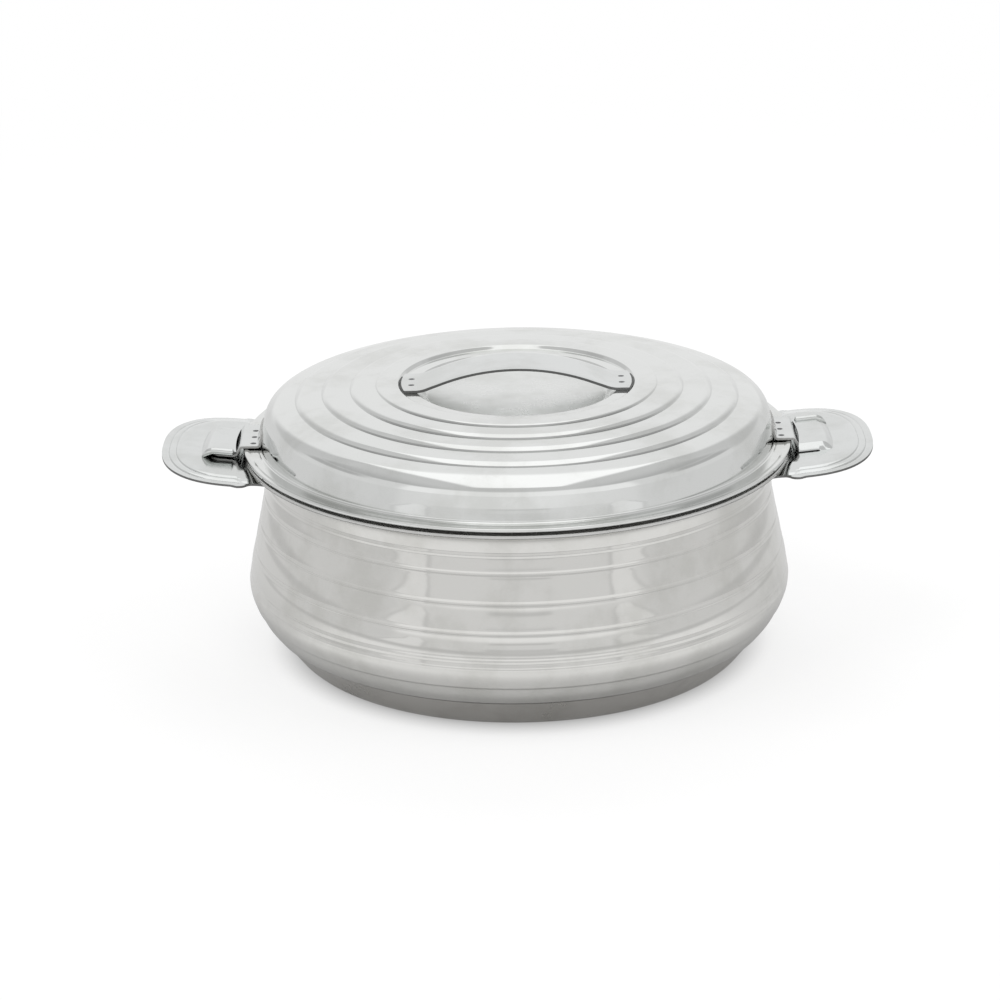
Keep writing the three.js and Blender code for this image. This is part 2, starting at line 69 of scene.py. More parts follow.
gap = 0.3
shell_sheet = 0.6
pressed_sheet = 1.2
rim_radius = box_of("inner_bowl")[1].x
rim_top = box_of("inner_bowl")[1].z
flange_radius = box_of("lid_top_shell")[1].x
lid_top = box_of("lid_top_shell")[1].z
strap_half_length = box_of("lid_strap_handle")[1].x
strap_half_width = box_of("lid_strap_handle")[1].y
strap_top = box_of("lid_strap_handle")[1].z
bracket_half_width = box_of("lock_bracket_right")[1].y
print("rim, flange and lid top in mm:", rim_radius, flange_radius, lid_top)

# %% [markdown]
# The photograph was taken from 20 degrees above the table with a long lens, so the rim's
# ellipse is flat and the sides hardly converge. The pot stands a little right of the middle
# of the picture, and the camera leans by less than a degree.

# %% Camera at the photograph's angle
camera_elevation = math.radians(20)
camera_distance = 1.6946
camera_lean = math.radians(0.9)
aim = Vector((-9.4 * MM, 0, 75.6 * MM))

camera_data = bpy.data.cameras.new("camera")
camera_data.sensor_width = 36
camera_data.lens = 117
camera = bpy.data.objects.new("camera", camera_data)
bpy.context.scene.collection.objects.link(camera)
back = Vector((0, -math.cos(camera_elevation), math.sin(camera_elevation)))
camera.location = aim + back * camera_distance
camera.rotation_mode = "QUATERNION"
level_view = (-back).to_track_quat("-Z", "Y")
camera.rotation_quaternion = level_view @ Quaternion((0, 0, 1), -camera_lean)
bpy.context.scene.camera = camera
print("camera at", [round(value, 3) for value in camera.location])

# %% [markdown]
# Node trees are easier to read as sums. This small class holds one output socket. Adding,
# taking away, multiplying or dividing wires adds the Math nodes, and `node` adds any other
# node, with its settings first and its inputs after. The nodes that are needed often, such
# as noise and bump, have a short name of their own.

# %% A wire that can be used in sums
MIXED = 2  # the Mix node's colour output


def arithmetic(operation):
    """The plain and the reflected form of one operator."""

    def plain(self, other):
        return self.node("ShaderNodeMath", {"operation": operation}, {0: self, 1: other})

    def reflected(self, other):
        return self.node("ShaderNodeMath", {"operation": operation}, {0: other, 1: self})

    return plain, reflected


class Wire:
    """One output socket of a node tree, or only the tree at the start."""

    def __init__(self, tree, socket=None):
        self.tree = tree
        self.socket = socket

    def node(self, kind, settings=None, inputs=None, output=0):
        """Adds a node. Inputs are found by number, identifier or name."""
        made = self.tree.nodes.new(kind)
        for name, value in (settings or {}).items():
            setattr(made, name, value)
        for key, value in (inputs or {}).items():
            socket = made.inputs[key] if isinstance(key, int) else next(
                found for found in made.inputs if key in (found.identifier, found.name))
            if isinstance(value, Wire):
                self.tree.links.new(value.socket, socket)
            else:
                socket.default_value = value
        return Wire(self.tree, made.outputs[output] if len(made.outputs) else None)

    def maths(self, operation, *others):
        return self.node("ShaderNodeMath", {"operation": operation},
                         dict(enumerate((self, *others))))

    def between(self, low, high):
        """0 below low, 1 above high, and a smooth rise from one to the other."""
        return self.node("ShaderNodeMapRange", {"interpolation_type": "SMOOTHSTEP"},
                         {"Value": self, "From Min": low, "From Max": high})

    def blend(self, first, second):
        """A colour between two colours, by this wire's value."""
        return self.node("ShaderNodeMix", {"data_type": "RGBA"},
                         {"Factor_Float": self, "A_Color": first, "B_Color": second}, MIXED)

    def grey(self):
        """This value as a colour between black and white."""
        return self.blend((0, 0, 0, 1), (1, 1, 1, 1))

    def parts(self):
        """X, Y and Z of this vector."""
        return [self.node("ShaderNodeSeparateXYZ", inputs={0: self}, output=axis)
                for axis in range(3)]

    def noise(self, scale, detail, roughness=0.5):
        """Noise at this place."""
        return self.node("ShaderNodeTexNoise", inputs={
            "Vector": self, "Scale": scale, "Detail": detail, "Roughness": roughness})

    def bump(self, strength, distance):
        """The normal of a surface that has this value as its relief."""
        return self.node("ShaderNodeBump", inputs={
            "Height": self, "Strength": strength, "Distance": distance})

    __add__, __radd__ = arithmetic("ADD")
    __sub__, __rsub__ = arithmetic("SUBTRACT")
    __mul__, __rmul__ = arithmetic("MULTIPLY")
    __truediv__, __rtruediv__ = arithmetic("DIVIDE")


print("operators ready:", [name for name in vars(Wire) if name.startswith("__r")])

# %% [markdown]
# Every finish starts as an empty node tree and takes its patterns from Object coordinates,
# so they stay on the steel when the lid turns. The pot is round, so the radius about its
# axis is worked out too. Where sheet is creased, a thin grey line of painted shade lies in it.

# %% Helpers for finishes


def new_material(name):
    material = bpy.data.materials.new(name)
    material.use_nodes = True
    material.node_tree.nodes.clear()
    return material, Wire(material.node_tree)


def finish_with(start, shader):
    start.node("ShaderNodeOutputMaterial", inputs={"Surface": shader})


def position_parts(start):
    """The position, its X, Y and Z, and the radius about the pot's axis, in metres."""
    place = start.node("ShaderNodeTexCoord", output="Object")
    x, y, z = place.parts()
    radius = (x * x + y * y).maths("SQRT")
    return place, x, y, z, radius


def painted_crease_shade(along, places, half_width):
    """1 on thin lines at the places in millimetres, where a crease gets its painted shade."""
    lines = 0
    for place in places:
        off_line = (along - place * MM).maths("ABSOLUTE") / (half_width * MM)
        lines = (1 - off_line).maths("MAXIMUM", 0) + lines
    return lines


print("helpers for finishes ready")

# %% [markdown]
# Polished sheet is never a perfect mirror. Spinning leaves very fine rings round the axis,
# drawing leaves faint streaks up the wall, the thin sheet is a little wavy, and handling
# leaves dull patches. All four come from noise: the rings from noise along the radius and
# the height alone, and the streaks from noise that is stretched along the height.

# %% A recipe for steel sheet
ring_frequency = (1400, 1900)
streak_frequency = (150, 9)
dent_frequency = 55.0
patch_frequency = 30.0
satin_edge = (0.045, 0.048)
crease_fade = (0.7, 0.95)


def steel(name, colour, roughness, rings=0.0, streaks=0.0, dents=0.0, dullness=0.06,
          worn=(0.9, 0.9, 0.89), satin_centre=0.0, metal=1.0, crease_radii=(),
          crease_heights=(), crease_shade=0.5, crease_shade_half_width=0.4):
    """Steel sheet. Rings, streaks and dents are heights of relief in millimetres.

    A satin centre is rougher inside the recess of the lid. Crease lines of painted shade lie
    at their radii or heights, and fade towards the sides of the pot, as in the photograph.
    """
    material, start = new_material(name)
    place, x, y, z, radius = position_parts(start)
    ring_noise = start.node("ShaderNodeTexNoise", {"noise_dimensions": "1D"},
                            {"W": radius * ring_frequency[0] + z * ring_frequency[1],
                             "Scale": 1.0, "Detail": 3.0})
    round_axis = start.node("ShaderNodeCombineXYZ", inputs={
        0: x / (radius + MM) * streak_frequency[0],
        1: y / (radius + MM) * streak_frequency[0], 2: z * streak_frequency[1]})
    streak_noise = round_axis.noise(1.0, 4.0)
    dent_noise = place.noise(dent_frequency, 1.0, 0.4)
    patches = place.noise(patch_frequency, 5.0, 0.62).between(0.42, 0.68)
    relief = ring_noise * rings + streak_noise * streaks + dent_noise * dents
    rubbed = [level * part for level, part in zip(colour, worn)]
    sheet_colour = patches.blend((*colour, 1), (*rubbed, 1))
    # Thin lines of painted shade in the creases, fading towards the sides.
    if crease_radii or crease_heights:
        lines = (painted_crease_shade(radius, crease_radii, crease_shade_half_width)
                 + painted_crease_shade(z, crease_heights, crease_shade_half_width))
        to_side = (x / (radius + MM)).maths("ABSOLUTE").between(*crease_fade)
        dark = [level * crease_shade for level in colour]
        sheet_colour = (lines * (1 - to_side)).blend(sheet_colour, (*dark, 1))
    shader = start.node("ShaderNodeBsdfPrincipled", inputs={
        "Base Color": sheet_colour,
        "Metallic": metal,
        "Roughness": (patches * dullness + streak_noise * (dullness / 2) + roughness
                      + (1 - radius.between(*satin_edge)) * satin_centre),
        "Normal": relief.bump(1.0, MM),
    })
    finish_with(start, shader)
    return material


print("noise frequencies of rings and streaks:", ring_frequency, streak_frequency)

# %% [markdown]
# The shell is polished and the pressed plates nearly so. The bowl is left dull. The liner is
# dull too, and painted dark as painted shade in the gap under the lid. Where sheet was cut
# its edge is painted dark, as painted shade on the edge, but the edges of the lock brackets
# are painted paler and less metallic, as painted light where they lie in shade.

# %% Steel finishes
body_steel = steel("body_steel", (0.735, 0.73, 0.708), 0.055, rings=0.0008, streaks=0.001,
                   dents=0.06, dullness=0.045)
bowl_steel = steel("bowl_steel", (0.66, 0.66, 0.65), 0.22, rings=0.003, dents=0.03)
plate_steel = steel("plate_steel", (0.73, 0.745, 0.74), 0.08, dents=0.03, dullness=0.05)
# Painted shade: the liner is dark so that the gap under the lid reads dark.
painted_shade_liner = steel("painted_shade_liner", (0.22, 0.22, 0.215), 0.5)
# Painted shade on the cut edges of sheet.
painted_shade_edge = steel("painted_shade_edge", (0.2, 0.2, 0.2), 0.4)
# Painted light: the bracket edges are paler and less metallic, so they look lit in shade.
painted_lit_edge = steel("painted_lit_edge", (0.5, 0.5, 0.49), 0.4, metal=0.3)
print("steel finishes:", len(bpy.data.materials))

# %% [markdown]
# Inside the walls is rigid foam, poured in through a hole that a plastic plug closes. Both
# are hidden or nearly so, but a part is looked at from all sides, and taken apart too.

# %% Foam, plug plastic and the painted shade of a weld pit


def foam(name):
    material, start = new_material(name)
    place = start.node("ShaderNodeTexCoord", output="Object")
    cells = start.node("ShaderNodeTexVoronoi", inputs={"Vector": place, "Scale": 700.0})
    shade = cells.between(0.0, 0.8)
    finish_with(start, start.node("ShaderNodeBsdfPrincipled", inputs={
        "Base Color": shade.blend((0.72, 0.6, 0.33, 1), (0.83, 0.73, 0.46, 1)),
        "Roughness": 0.95, "Normal": cells.bump(0.6, 0.4 * MM)}))
    return material


def moulded(name, dark, light, roughness, grain):
    material, start = new_material(name)
    place = start.node("ShaderNodeTexCoord", output="Object")
    noise = place.noise(grain, 4.0)
    finish_with(start, start.node("ShaderNodeBsdfPrincipled", inputs={
        "Base Color": noise.between(0.3, 0.7).blend((*dark, 1), (*light, 1)),
        "Roughness": noise * 0.1 + roughness, "Normal": noise.bump(0.4, 0.05 * MM)}))
    return material


foam_cells = foam("foam_cells")
plug_plastic = moulded("plug_plastic", (0.035, 0.037, 0.04), (0.05, 0.053, 0.058), 0.5, 900.0)
# Painted shade of the small pits that welds leave, set as dark flat beads.
painted_weld_pit_shade = moulded("painted_weld_pit_shade", (0.05, 0.05, 0.055), (0.12, 0.12, 0.125), 0.45, 2500.0)
print("finishes in all:", len(bpy.data.materials))

# %% [markdown]
# Most of the pot is sheet metal turned about one axis, so most of it is a section and a
# turn. The section is a closed outline in radius and height. Its corners are rounded in
# Python, as the press rounds them, because a sharp corner never catches a highlight.

# %% Lines and closed sections in radius and height


def offset(line, distance):
    """The line moved sideways, to the left of the way it runs."""
    moved = []
    last = len(line) - 1
    for i, here in enumerate(line):
        arriving = (line[max(i, 1)] - line[max(i, 1) - 1]).normalized()
        leaving = (line[min(i, last - 1) + 1] - line[min(i, last - 1)]).normalized()
        side = Vector((-arriving.y - leaving.y, arriving.x + leaving.x)).normalized()
        square = Vector((-arriving.y, arriving.x))
        moved.append(here + side * (distance / side.dot(square)))
    return moved


def rounded(corners, arc_steps=6, most=0.36):
    """A line through (radius, height, round) corners, each turned by an arc of its round.

    An arc takes at most the given share of the straight on either side.
    """
    run_up = 1 + (0.5 - most) / 2
    places = [Vector(corner[:2]) for corner in corners]
    line = [places[0]]
    for before, here, after, corner in zip(places, places[1:], places[2:], corners[1:]):
        into, out = before - here, after - here
        half = into.angle(out) / 2
        if corner[2] == 0:
            line.append(here)
            continue
        reach = min(corner[2] / math.tan(half), into.length * most, out.length * most)
        centre = here + (into.normalized() + out.normalized()).normalized() * (
            reach / math.cos(half))
        first = here + into.normalized() * reach - centre
        final = here + out.normalized() * reach - centre
        from_angle = math.atan2(first.y, first.x)
        turn = math.remainder(math.atan2(final.y, final.x) - from_angle, math.tau)
        line.append(here + into.normalized() * reach * run_up)
        for i in range(arc_steps + 1):
            angle = from_angle + turn * i / arc_steps
            line.append(centre + Vector((math.cos(angle), math.sin(angle))) * first.length)
        line.append(here + out.normalized() * reach * run_up)
    return line + [places[-1]]


print("a rounded corner has", len(rounded([(0, 0, 0), (5, 0, 1), (5, 5, 0)])), "points")

# %% [markdown]
# A long soft curve, like the pot's side, is easier to give as a few points that it runs
# through. Each point's slope comes from its two neighbours, and cubic pieces join them. A
# sheet is then a line, and the same line moved by the sheet's thickness.

# %% Smooth lines and sheets


def flowing(points, spacing):
    """A smooth curve through the points, with about the given spacing."""
    places = [Vector(place) for place in points]
    runs = [(b - a).length for a, b in zip(places, places[1:])]
    chords = [(b - a) / run for a, b, run in zip(places, places[1:], runs)]
    slopes = [chords[0]]
    for i in range(1, len(chords)):
        shared = runs[i - 1] + runs[i]
        slopes.append((chords[i - 1] * runs[i] + chords[i] * runs[i - 1]) / shared)
    slopes.append(chords[-1])
    line = []
    for i, run in enumerate(runs):
        steps = max(2, round(run / spacing))
        for j in range(steps):
            t = j / steps
            line.append(places[i] * (2 * t ** 3 - 3 * t ** 2 + 1)
                        + slopes[i] * run * (t ** 3 - 2 * t ** 2 + t)
                        + places[i + 1] * (3 * t ** 2 - 2 * t ** 3)
                        + slopes[i + 1] * run * (t ** 3 - t ** 2))
    return line + [places[-1]]


def sheet(line, thickness):
    """The closed section of a sheet: a line, and the same line moved sideways."""
    return line + offset(line, thickness)[::-1]


print("a flowing line has", len(flowing([(0, 0), (5, 1), (9, 6)], 1)), "points")

# %% [markdown]
# Blender could spin the section with a Screw modifier or with bmesh. Here a Geometry Nodes
# tree does it: it makes a grid with one column for each point of the section and one row
# for each step of the turn, and moves each point of the grid to its place. One tree then
# serves every turned piece, with the section, the steps and the finish as its inputs. Two
# helpers open and close a tree, because the weld marks need a tree as well.

# %% The tree that turns a section about the axis


def new_tree(name, inputs, output):
    """A tree's first wire, and a wire from each of its named inputs."""
    tree = bpy.data.node_groups.new(name, "GeometryNodeTree")
    for socket, kind in inputs.items():
        tree.interface.new_socket(socket, in_out="INPUT", socket_type="NodeSocket" + kind)
    tree.interface.new_socket(output, in_out="OUTPUT", socket_type="NodeSocketGeometry")
    start = Wire(tree)
    return start, *(start.node("NodeGroupInput", output=socket) for socket in inputs)


def close_tree(start, output, made, finish):
    """Makes the tree's result plain and smooth, and gives it its finish."""
    real = start.node("GeometryNodeRealizeInstances", inputs={"Geometry": made})
    smooth = start.node("GeometryNodeSetShadeSmooth", inputs={"Geometry": real})
    start.node("NodeGroupOutput", inputs={output: start.node(
        "GeometryNodeSetMaterial", inputs={"Geometry": smooth, "Material": finish})})
    return start.tree


def turning_tree():
    start, section, steps, finish = new_tree(
        "turn_section", {"Section": "Geometry", "Steps": "Int", "Finish": "Material"}, "Turned")
    corners = start.node("GeometryNodeAttributeDomainSize", {"component": "MESH"},
                         {"Geometry": section}, "Point Count")
    grid = start.node("GeometryNodeMeshGrid", inputs={
        "Vertices X": corners + 1, "Vertices Y": steps + 1}, output="Mesh")
    index = start.node("GeometryNodeInputIndex")
    column = (index / (steps + 1)).maths("FLOOR")
    angle = (index - column * (steps + 1)) * math.tau / steps
    corner = start.node("GeometryNodeSampleIndex", {"data_type": "FLOAT_VECTOR"}, {
        "Geometry": section, "Value": start.node("GeometryNodeInputPosition"),
        "Index": column.maths("MODULO", corners)})
    radius, _, height = corner.parts()
    place = start.node("ShaderNodeCombineXYZ", inputs={
        0: radius * angle.maths("COSINE"), 1: radius * angle.maths("SINE"), 2: height})
    turned_grid = start.node("GeometryNodeSetPosition", inputs={
        "Geometry": grid, "Position": place})
    merged = start.node("GeometryNodeMergeByDistance", inputs={
        "Geometry": turned_grid, "Distance": MM / 1000})
    return close_tree(start, "Turned", merged, finish)


turn_section = turning_tree()
print("nodes in the turning tree:", len(turn_section.nodes))

# %% [markdown]
# A modifier runs the tree, and the finished mesh is taken from its result. Each piece then
# rides a body and takes the place of the packed piece with its name.

# %% Objects, and turned pieces made by the tree


def new_object(name, mesh):
    made = bpy.data.objects.new(name, mesh)
    bpy.context.scene.collection.objects.link(made)
    return made


def evaluated(source, name):
    """A plain mesh object of what the source's modifiers make. The source is removed."""
    bpy.context.view_layer.update()
    depsgraph = bpy.context.evaluated_depsgraph_get()
    mesh = bpy.data.meshes.new_from_object(source.evaluated_get(depsgraph))
    bpy.data.objects.remove(source)
    mesh.name = name
    return new_object(name, mesh)


def run_tree(source, tree, values, name):
    """What a tree makes of the source. Its inputs are given by their names."""
    modifier = source.modifiers.new("tree", "NODES")
    modifier.node_group = tree
    for item in tree.interface.items_tree:
        if item.name in values:
            modifier[item.identifier] = values[item.name]
    return evaluated(source, name)


def place_piece(piece, body, slot, *nodes):
    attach(piece, body)
    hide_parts(*nodes)
    return piece


def turned(node, section, finish, body, slot, steps=224):
    """Turns a closed section and puts it in the place of the packed piece."""
    area = sum(a.cross(b) for a, b in zip(section, section[1:] + section[:1]))
    ordered = section if area > 0 else section[::-1]
    mesh = bpy.data.meshes.new(node + "_section")
    corners = [(point.x * MM, 0, point.y * MM) for point in ordered]
    mesh.from_pydata(corners, [(i, (i + 1) % len(corners)) for i in range(len(corners))], [])
    source = new_object(node + "_section", mesh)
    piece = run_tree(source, turn_section, {"Steps": steps, "Finish": finish}, node + "_skin")
    print(node, "section points:", len(corners), "faces:", len(piece.data.polygons))
    return place_piece(piece, body, slot, node)


# %% [markdown]
# The pot's outer shell narrows from the belly to the neck and flares out under the rim. Six
# thin rings are pressed into it, and the bands between them stand out a little. That slight
# curve is why every band shows the whole room again, squeezed into its own height.

# %% The outer shell's plain line
belly = Vector((rim_radius - 0.3, 37))
shoulder = Vector((belly.x - 2.5, 27.2))
seam = Vector((belly.x - 9.2, 17.2))
rim_edge = rim_top - 1.7
neck = Vector((rim_radius - 10.5, rim_edge - 11.1))
flare_end = Vector((rim_radius - shell_sheet - gap, rim_edge - 2 * shell_sheet))
body_rise_shares = ((0.12, 0.1), (0.23, 0.21), (0.34, 0.36), (0.5, 0.55), (0.75, 0.85))
flare_shares = ((0.06, 0.36), (0.25, 0.68), (0.56, 0.88))


def share_point(low, high, across, up):
    """A point between two others, with one share for the radius and one for the height."""
    return Vector((low.x + (high.x - low.x) * across, low.y + (high.y - low.y) * up))


def shell_line(spacing=0.75):
    upper = [share_point(belly, neck, narrowing, rise) for rise, narrowing in body_rise_shares]
    flare = [share_point(neck, flare_end, across, up) for across, up in flare_shares]
    return flowing([shoulder, belly, *upper, neck, *flare, flare_end], spacing)


print("points of the shell's plain line:", len(shell_line()))

# %% [markdown]
# The rings are pressed after the shell is drawn. Each is a narrow soft ridge, each band
# between two rings is a very low arch, and a crease runs round where the bottom bends in.

# %% Pressed rings, and the whole outer shell
ring_shares = (0.025, 0.098, 0.317, 0.558, 0.7995, 0.951)
ring_rise = 0.25
ring_half_width = 1.6
band_crown = 0.3
full_crown_height = 14
crease_depth = 0.6
crease_half_width = 1.2


def pressed_relief(height):
    """How far the pressed rings and bands stand out of the plain line at a height."""
    rings = [belly.y + (neck.y - belly.y) * share for share in ring_shares]
    relief = 0.0
    for ring in rings:
        near = abs(height - ring) / ring_half_width
        if near < 1:
            relief += ring_rise * math.cos(near * math.pi / 2) ** 2
    for low, high in zip([shoulder.y, *rings], rings):
        if low < height < high:
            along = (height - low) / (high - low)
            crown = band_crown * min(1, (high - low) / full_crown_height)
            relief += crown * 4 * along * (1 - along)
    near = (height - shoulder.y) / crease_half_width
    if near < 1:
        relief -= crease_depth * (1 - near) ** 2
    return relief


def outer_shell_section():
    plain = shell_line(0.4)
    sides = offset(plain, -1)
    pressed = [here + (side - here) * pressed_relief(here.y) for here, side in zip(plain, sides)]
    lower = flowing([seam, share_point(seam, shoulder, 0.56, 0.5), pressed[0]], 0.7)
    outside = lower[:-1] + pressed
    inside = offset([seam, shoulder] + shell_line(3)[1:], shell_sheet)
    return outside + inside[::-1]


turned("outer_shell", outer_shell_section(), body_steel, "pot", "polished_steel")

# %% [markdown]
# The bowl is one sheet from its floor to the rim. It turns out over the edge of the shell
# and is hemmed round it, so the rim is a smooth roll with a thin bright edge. The base cap
# is pushed up into the shell, and a line of painted shade lies under the shell's lower edge.

# %% Inner bowl and base cap
bowl_mouth_radius = rim_radius - 20
bowl_foot_radius = bowl_mouth_radius - 5
bowl_floor = 14
bowl_corner_round = 18
bowl_slant = 0.9
rim_shelf = 8
rim_hem = 1.5
foot_radius = seam.x - 16.5
foot_ring_width = 10
foot_flare_run = 4.5
foot_flare_rise = 3
base_recess = 2.5
fill_hole_radius = 8
cap_lap = 5
under_seam = 0.8


def bowl_line():
    return rounded([
        (0, bowl_floor, 0),
        (bowl_foot_radius + bowl_slant, bowl_floor, bowl_corner_round),
        (bowl_mouth_radius, rim_top, 2.6),
        (rim_radius - rim_shelf, rim_top, 12),
        (rim_radius, rim_edge + 0.2, 0.7),
        (rim_radius, rim_edge - rim_hem, 0),
    ], arc_steps=10)


def cap_line():
    lip = offset([seam, shoulder], shell_sheet + gap)
    lip_top = lip[0] + (lip[1] - lip[0]).normalized() * cap_lap
    return rounded([
        (fill_hole_radius, base_recess, 0),
        (foot_radius - foot_ring_width - base_recess, base_recess, 2),
        (foot_radius - foot_ring_width, 0, 1.6),
        (foot_radius + 1.2, 0, 5),
        (foot_radius + foot_flare_run, foot_flare_rise, 6),
        (lip[0].x, lip[0].y, 1.5),
        (lip_top.x, lip_top.y, 0),
    ], arc_steps=8)


turned("inner_bowl", sheet(bowl_line(), -shell_sheet), bowl_steel, "pot", "bowl_steel")
# The base steel carries a line of painted shade under the shell's lower edge.
base_steel = steel("base_steel", (0.66, 0.645, 0.62), 0.2, rings=0.0016, streaks=0.0012,
                   dents=0.04, crease_heights=(seam.y - under_seam,), crease_shade=0.3,
                   crease_shade_half_width=0.7)
turned("base_cap", sheet(cap_line(), shell_sheet), base_steel, "pot", "polished_steel")

# %% [markdown]
# The lid rises in shallow terraces from its wall to the recess that takes the strap. Each
# terrace edge is a low step with soft corners. The flange ends in a low roll, whose lip
# turns down over the rim.

# %% Lid shell
flange_lip = 1.2
flange_height = box_of("lid_top_shell")[0].z + flange_lip
lid_rise = lid_top - flange_height
wall_radius = flange_radius - 9
recess_radius = 59.9
recess_lip_radius = recess_radius + 1.2
ledge_height = lid_top - 1.8
recess_floor_height = lid_top - 7
wall_top_shares = (0.959, 0.52)
shoulder_shares = ((0.9165, 0.571), (0.872, 0.686))
terrace_shares = ((0.728, 0.78), (0.536, 0.878), (0.332, 0.936), (0.1445, 0.986))
terrace_rises = (2.0, 1.9, 1.7, 1.0)
terrace_riser = 0.5
foot_run = 0.9
ramp_slopes = (math.radians(36), math.radians(20))
shoulder_round = 13
roll_width = 3.3
roll_rise = 0.3


def lid_point(across, up):
    """A point of the lid's section, by its shares of the run and the rise above the flange."""
    return Vector((recess_lip_radius + (wall_radius - recess_lip_radius) * across,
                   flange_height + lid_rise * up))


def flange_line():
    """Corners of the flange: the lip, the low roll and the flat up to the wall."""
    roll_top = flange_height + roll_rise
    return [
        (flange_radius, flange_height - flange_lip, 0),
        (flange_radius, roll_top, 0.8),
        (flange_radius - roll_width * 0.6, roll_top, 1.5),
        (flange_radius - roll_width, flange_height, 1.2),
        (wall_radius, flange_height, 1.6),
    ]


def terrace(edge, rise, steps=8):
    """One low step: a small fillet, a short riser, and a ramp that levels off."""
    foot = Vector((edge.x + foot_run, edge.y - rise * 0.55))
    step = [foot + Vector((0.9, 0)), foot + Vector((0.25, 0.01)), foot + Vector((0.05, 0.06))]
    here = foot + Vector((0, terrace_riser))
    step += [here - Vector((0, 0.1)), here + Vector((-0.03, 0))]
    steep, gentle = ramp_slopes
    stride = (rise - terrace_riser) / math.sin((steep + gentle) / 2) / steps
    for i in range(steps):
        angle = steep + (gentle - steep) * i / (steps - 1)
        here = here + Vector((-math.cos(angle), math.sin(angle))) * stride
        step.append(here)
    return step + [here + Vector((-0.4, 0.06)), here + Vector((-0.9, 0.09))]


print("terraces on the lid:", len(terrace_shares))

# %% [markdown]
# The whole section runs from the flange's lip up the wall, over the shoulder and the
# terraces, and down into the recess, whose floor is satin. Painted shade darkens the creases
# at the terraces' feet. The photograph shows that shade towards the front only, so it fades
# sideways.

# %% The lid's whole section
recess_ledge = 7.4
recess_slope_foot = 13.6


def lid_line():
    """The lid's outer face in radius and height, from the lip to the axis."""
    edges = [lid_point(*share) for share in terrace_shares]
    terraces = [terrace(edge, rise) for edge, rise in zip(edges, terrace_rises)]
    first_foot = terraces[0][0]
    shoulder_corner = lid_point(0.947, 0.637)
    wall_middle = lid_point(0.991, 0.2)
    lower = rounded([*flange_line(), (*wall_middle, 20), (*shoulder_corner, shoulder_round),
                     (*first_foot, 0)], arc_steps=12, most=0.46)
    upper = rounded([
        (*terraces[-1][-1], 0),
        (recess_lip_radius, lid_top, 1.1),
        (recess_radius - 0.3, ledge_height, 0.8),
        (recess_radius - recess_ledge, ledge_height, 0.9),
        (recess_radius - recess_slope_foot, recess_floor_height, 0.7),
        (0, recess_floor_height, 0),
    ], arc_steps=6)
    steps = [place for step in terraces for place in step]
    return lower[:-1] + steps[:-1] + upper


# The lid steel carries lines of painted shade at the terraces' feet.
lid_steel = steel("lid_steel", (0.79, 0.8, 0.79), 0.06, rings=0.0006, streaks=0.0006,
                  dents=0.04, dullness=0.05, satin_centre=0.2, crease_shade=0.55,
                  crease_radii=[lid_point(*share).x + foot_run for share in terrace_shares])
turned("lid_top_shell", sheet(lid_line(), shell_sheet), lid_steel, "lid", "lid_steel")

# %% [markdown]
# The liner is the lid's underside. It plugs into the bowl's mouth and keeps the steam in.
# Foam is poured into pot and lid through a hole in the hidden sheet, and a plastic plug
# with a short stem closes it.

# %% Lid liner and fill plugs
liner_underside = rim_top + gap
plug_radius = bowl_mouth_radius - 2.5
plug_depth = 9
plug_bottom = liner_underside - plug_depth
plug_wall_run = 3.3
dish_rise = 7
plug_head_lap = 3.5
plug_head_height = 1.2
dish_underside = plug_bottom + dish_rise
stem_length = 3.6
clear = shell_sheet + gap


def liner_line(centre_radius):
    return rounded([
        (flange_radius - 3.6, liner_underside, 0),
        (plug_radius + plug_wall_run, liner_underside, 1.2),
        (plug_radius + 0.6, liner_underside - 2.2, 2),
        (plug_radius, plug_bottom, 2.2),
        (plug_radius - 11, plug_bottom, 3),
        (plug_radius - 18, dish_underside, 5),
        (centre_radius, dish_underside, 0),
    ])


def fill_plug(underside):
    head_top = underside - gap
    stem_top = underside + shell_sheet + stem_length
    head_radius = fill_hole_radius + plug_head_lap
    head_bottom = head_top - plug_head_height
    return rounded([
        (0, head_bottom, 0), (head_radius, head_bottom, 0.5), (head_radius, head_top, 0.3),
        (fill_hole_radius - gap, head_top, 0),
        (fill_hole_radius - gap, stem_top, 0.8), (0, stem_top, 0),
    ])


turned("lid_liner", sheet(liner_line(fill_hole_radius), -shell_sheet), painted_shade_liner, "lid",
       "bowl_steel")

# %% [markdown]
# The foam follows the sheets on both sides of it, so a cut through the pot would show sheet,
# foam and sheet with no empty space between them. It leaves a small hollow over each plug.

# %% Foam, and the plugs in their holes
stem_clearance = 1


def stem_hollow(underside):
    hollow_radius = fill_hole_radius + stem_clearance
    hollow_top = underside + shell_sheet + stem_length + stem_clearance
    return [Vector((0, hollow_top)), Vector((hollow_radius, hollow_top)),
            Vector((hollow_radius, underside + clear))]


def lid_foam_section():
    below = offset(liner_line(0), -clear)[1:-1][::-1]
    above = offset(rounded([
        (wall_radius, flange_height, 0), (*lid_point(*wall_top_shares), 3),
        *((*lid_point(*share), 3) for share in shoulder_shares + terrace_shares),
        (recess_radius - 0.3, ledge_height, 1),
        (recess_radius - recess_ledge, ledge_height, 1.6),
        (recess_radius - recess_slope_foot, recess_floor_height, 2),
        (0, recess_floor_height, 0)]),
        clear + max(terrace_rises) / 2)
    edge = Vector((wall_radius - 2 * clear, flange_height - gap))
    return stem_hollow(dish_underside) + below[1:] + [edge] + above[1:]


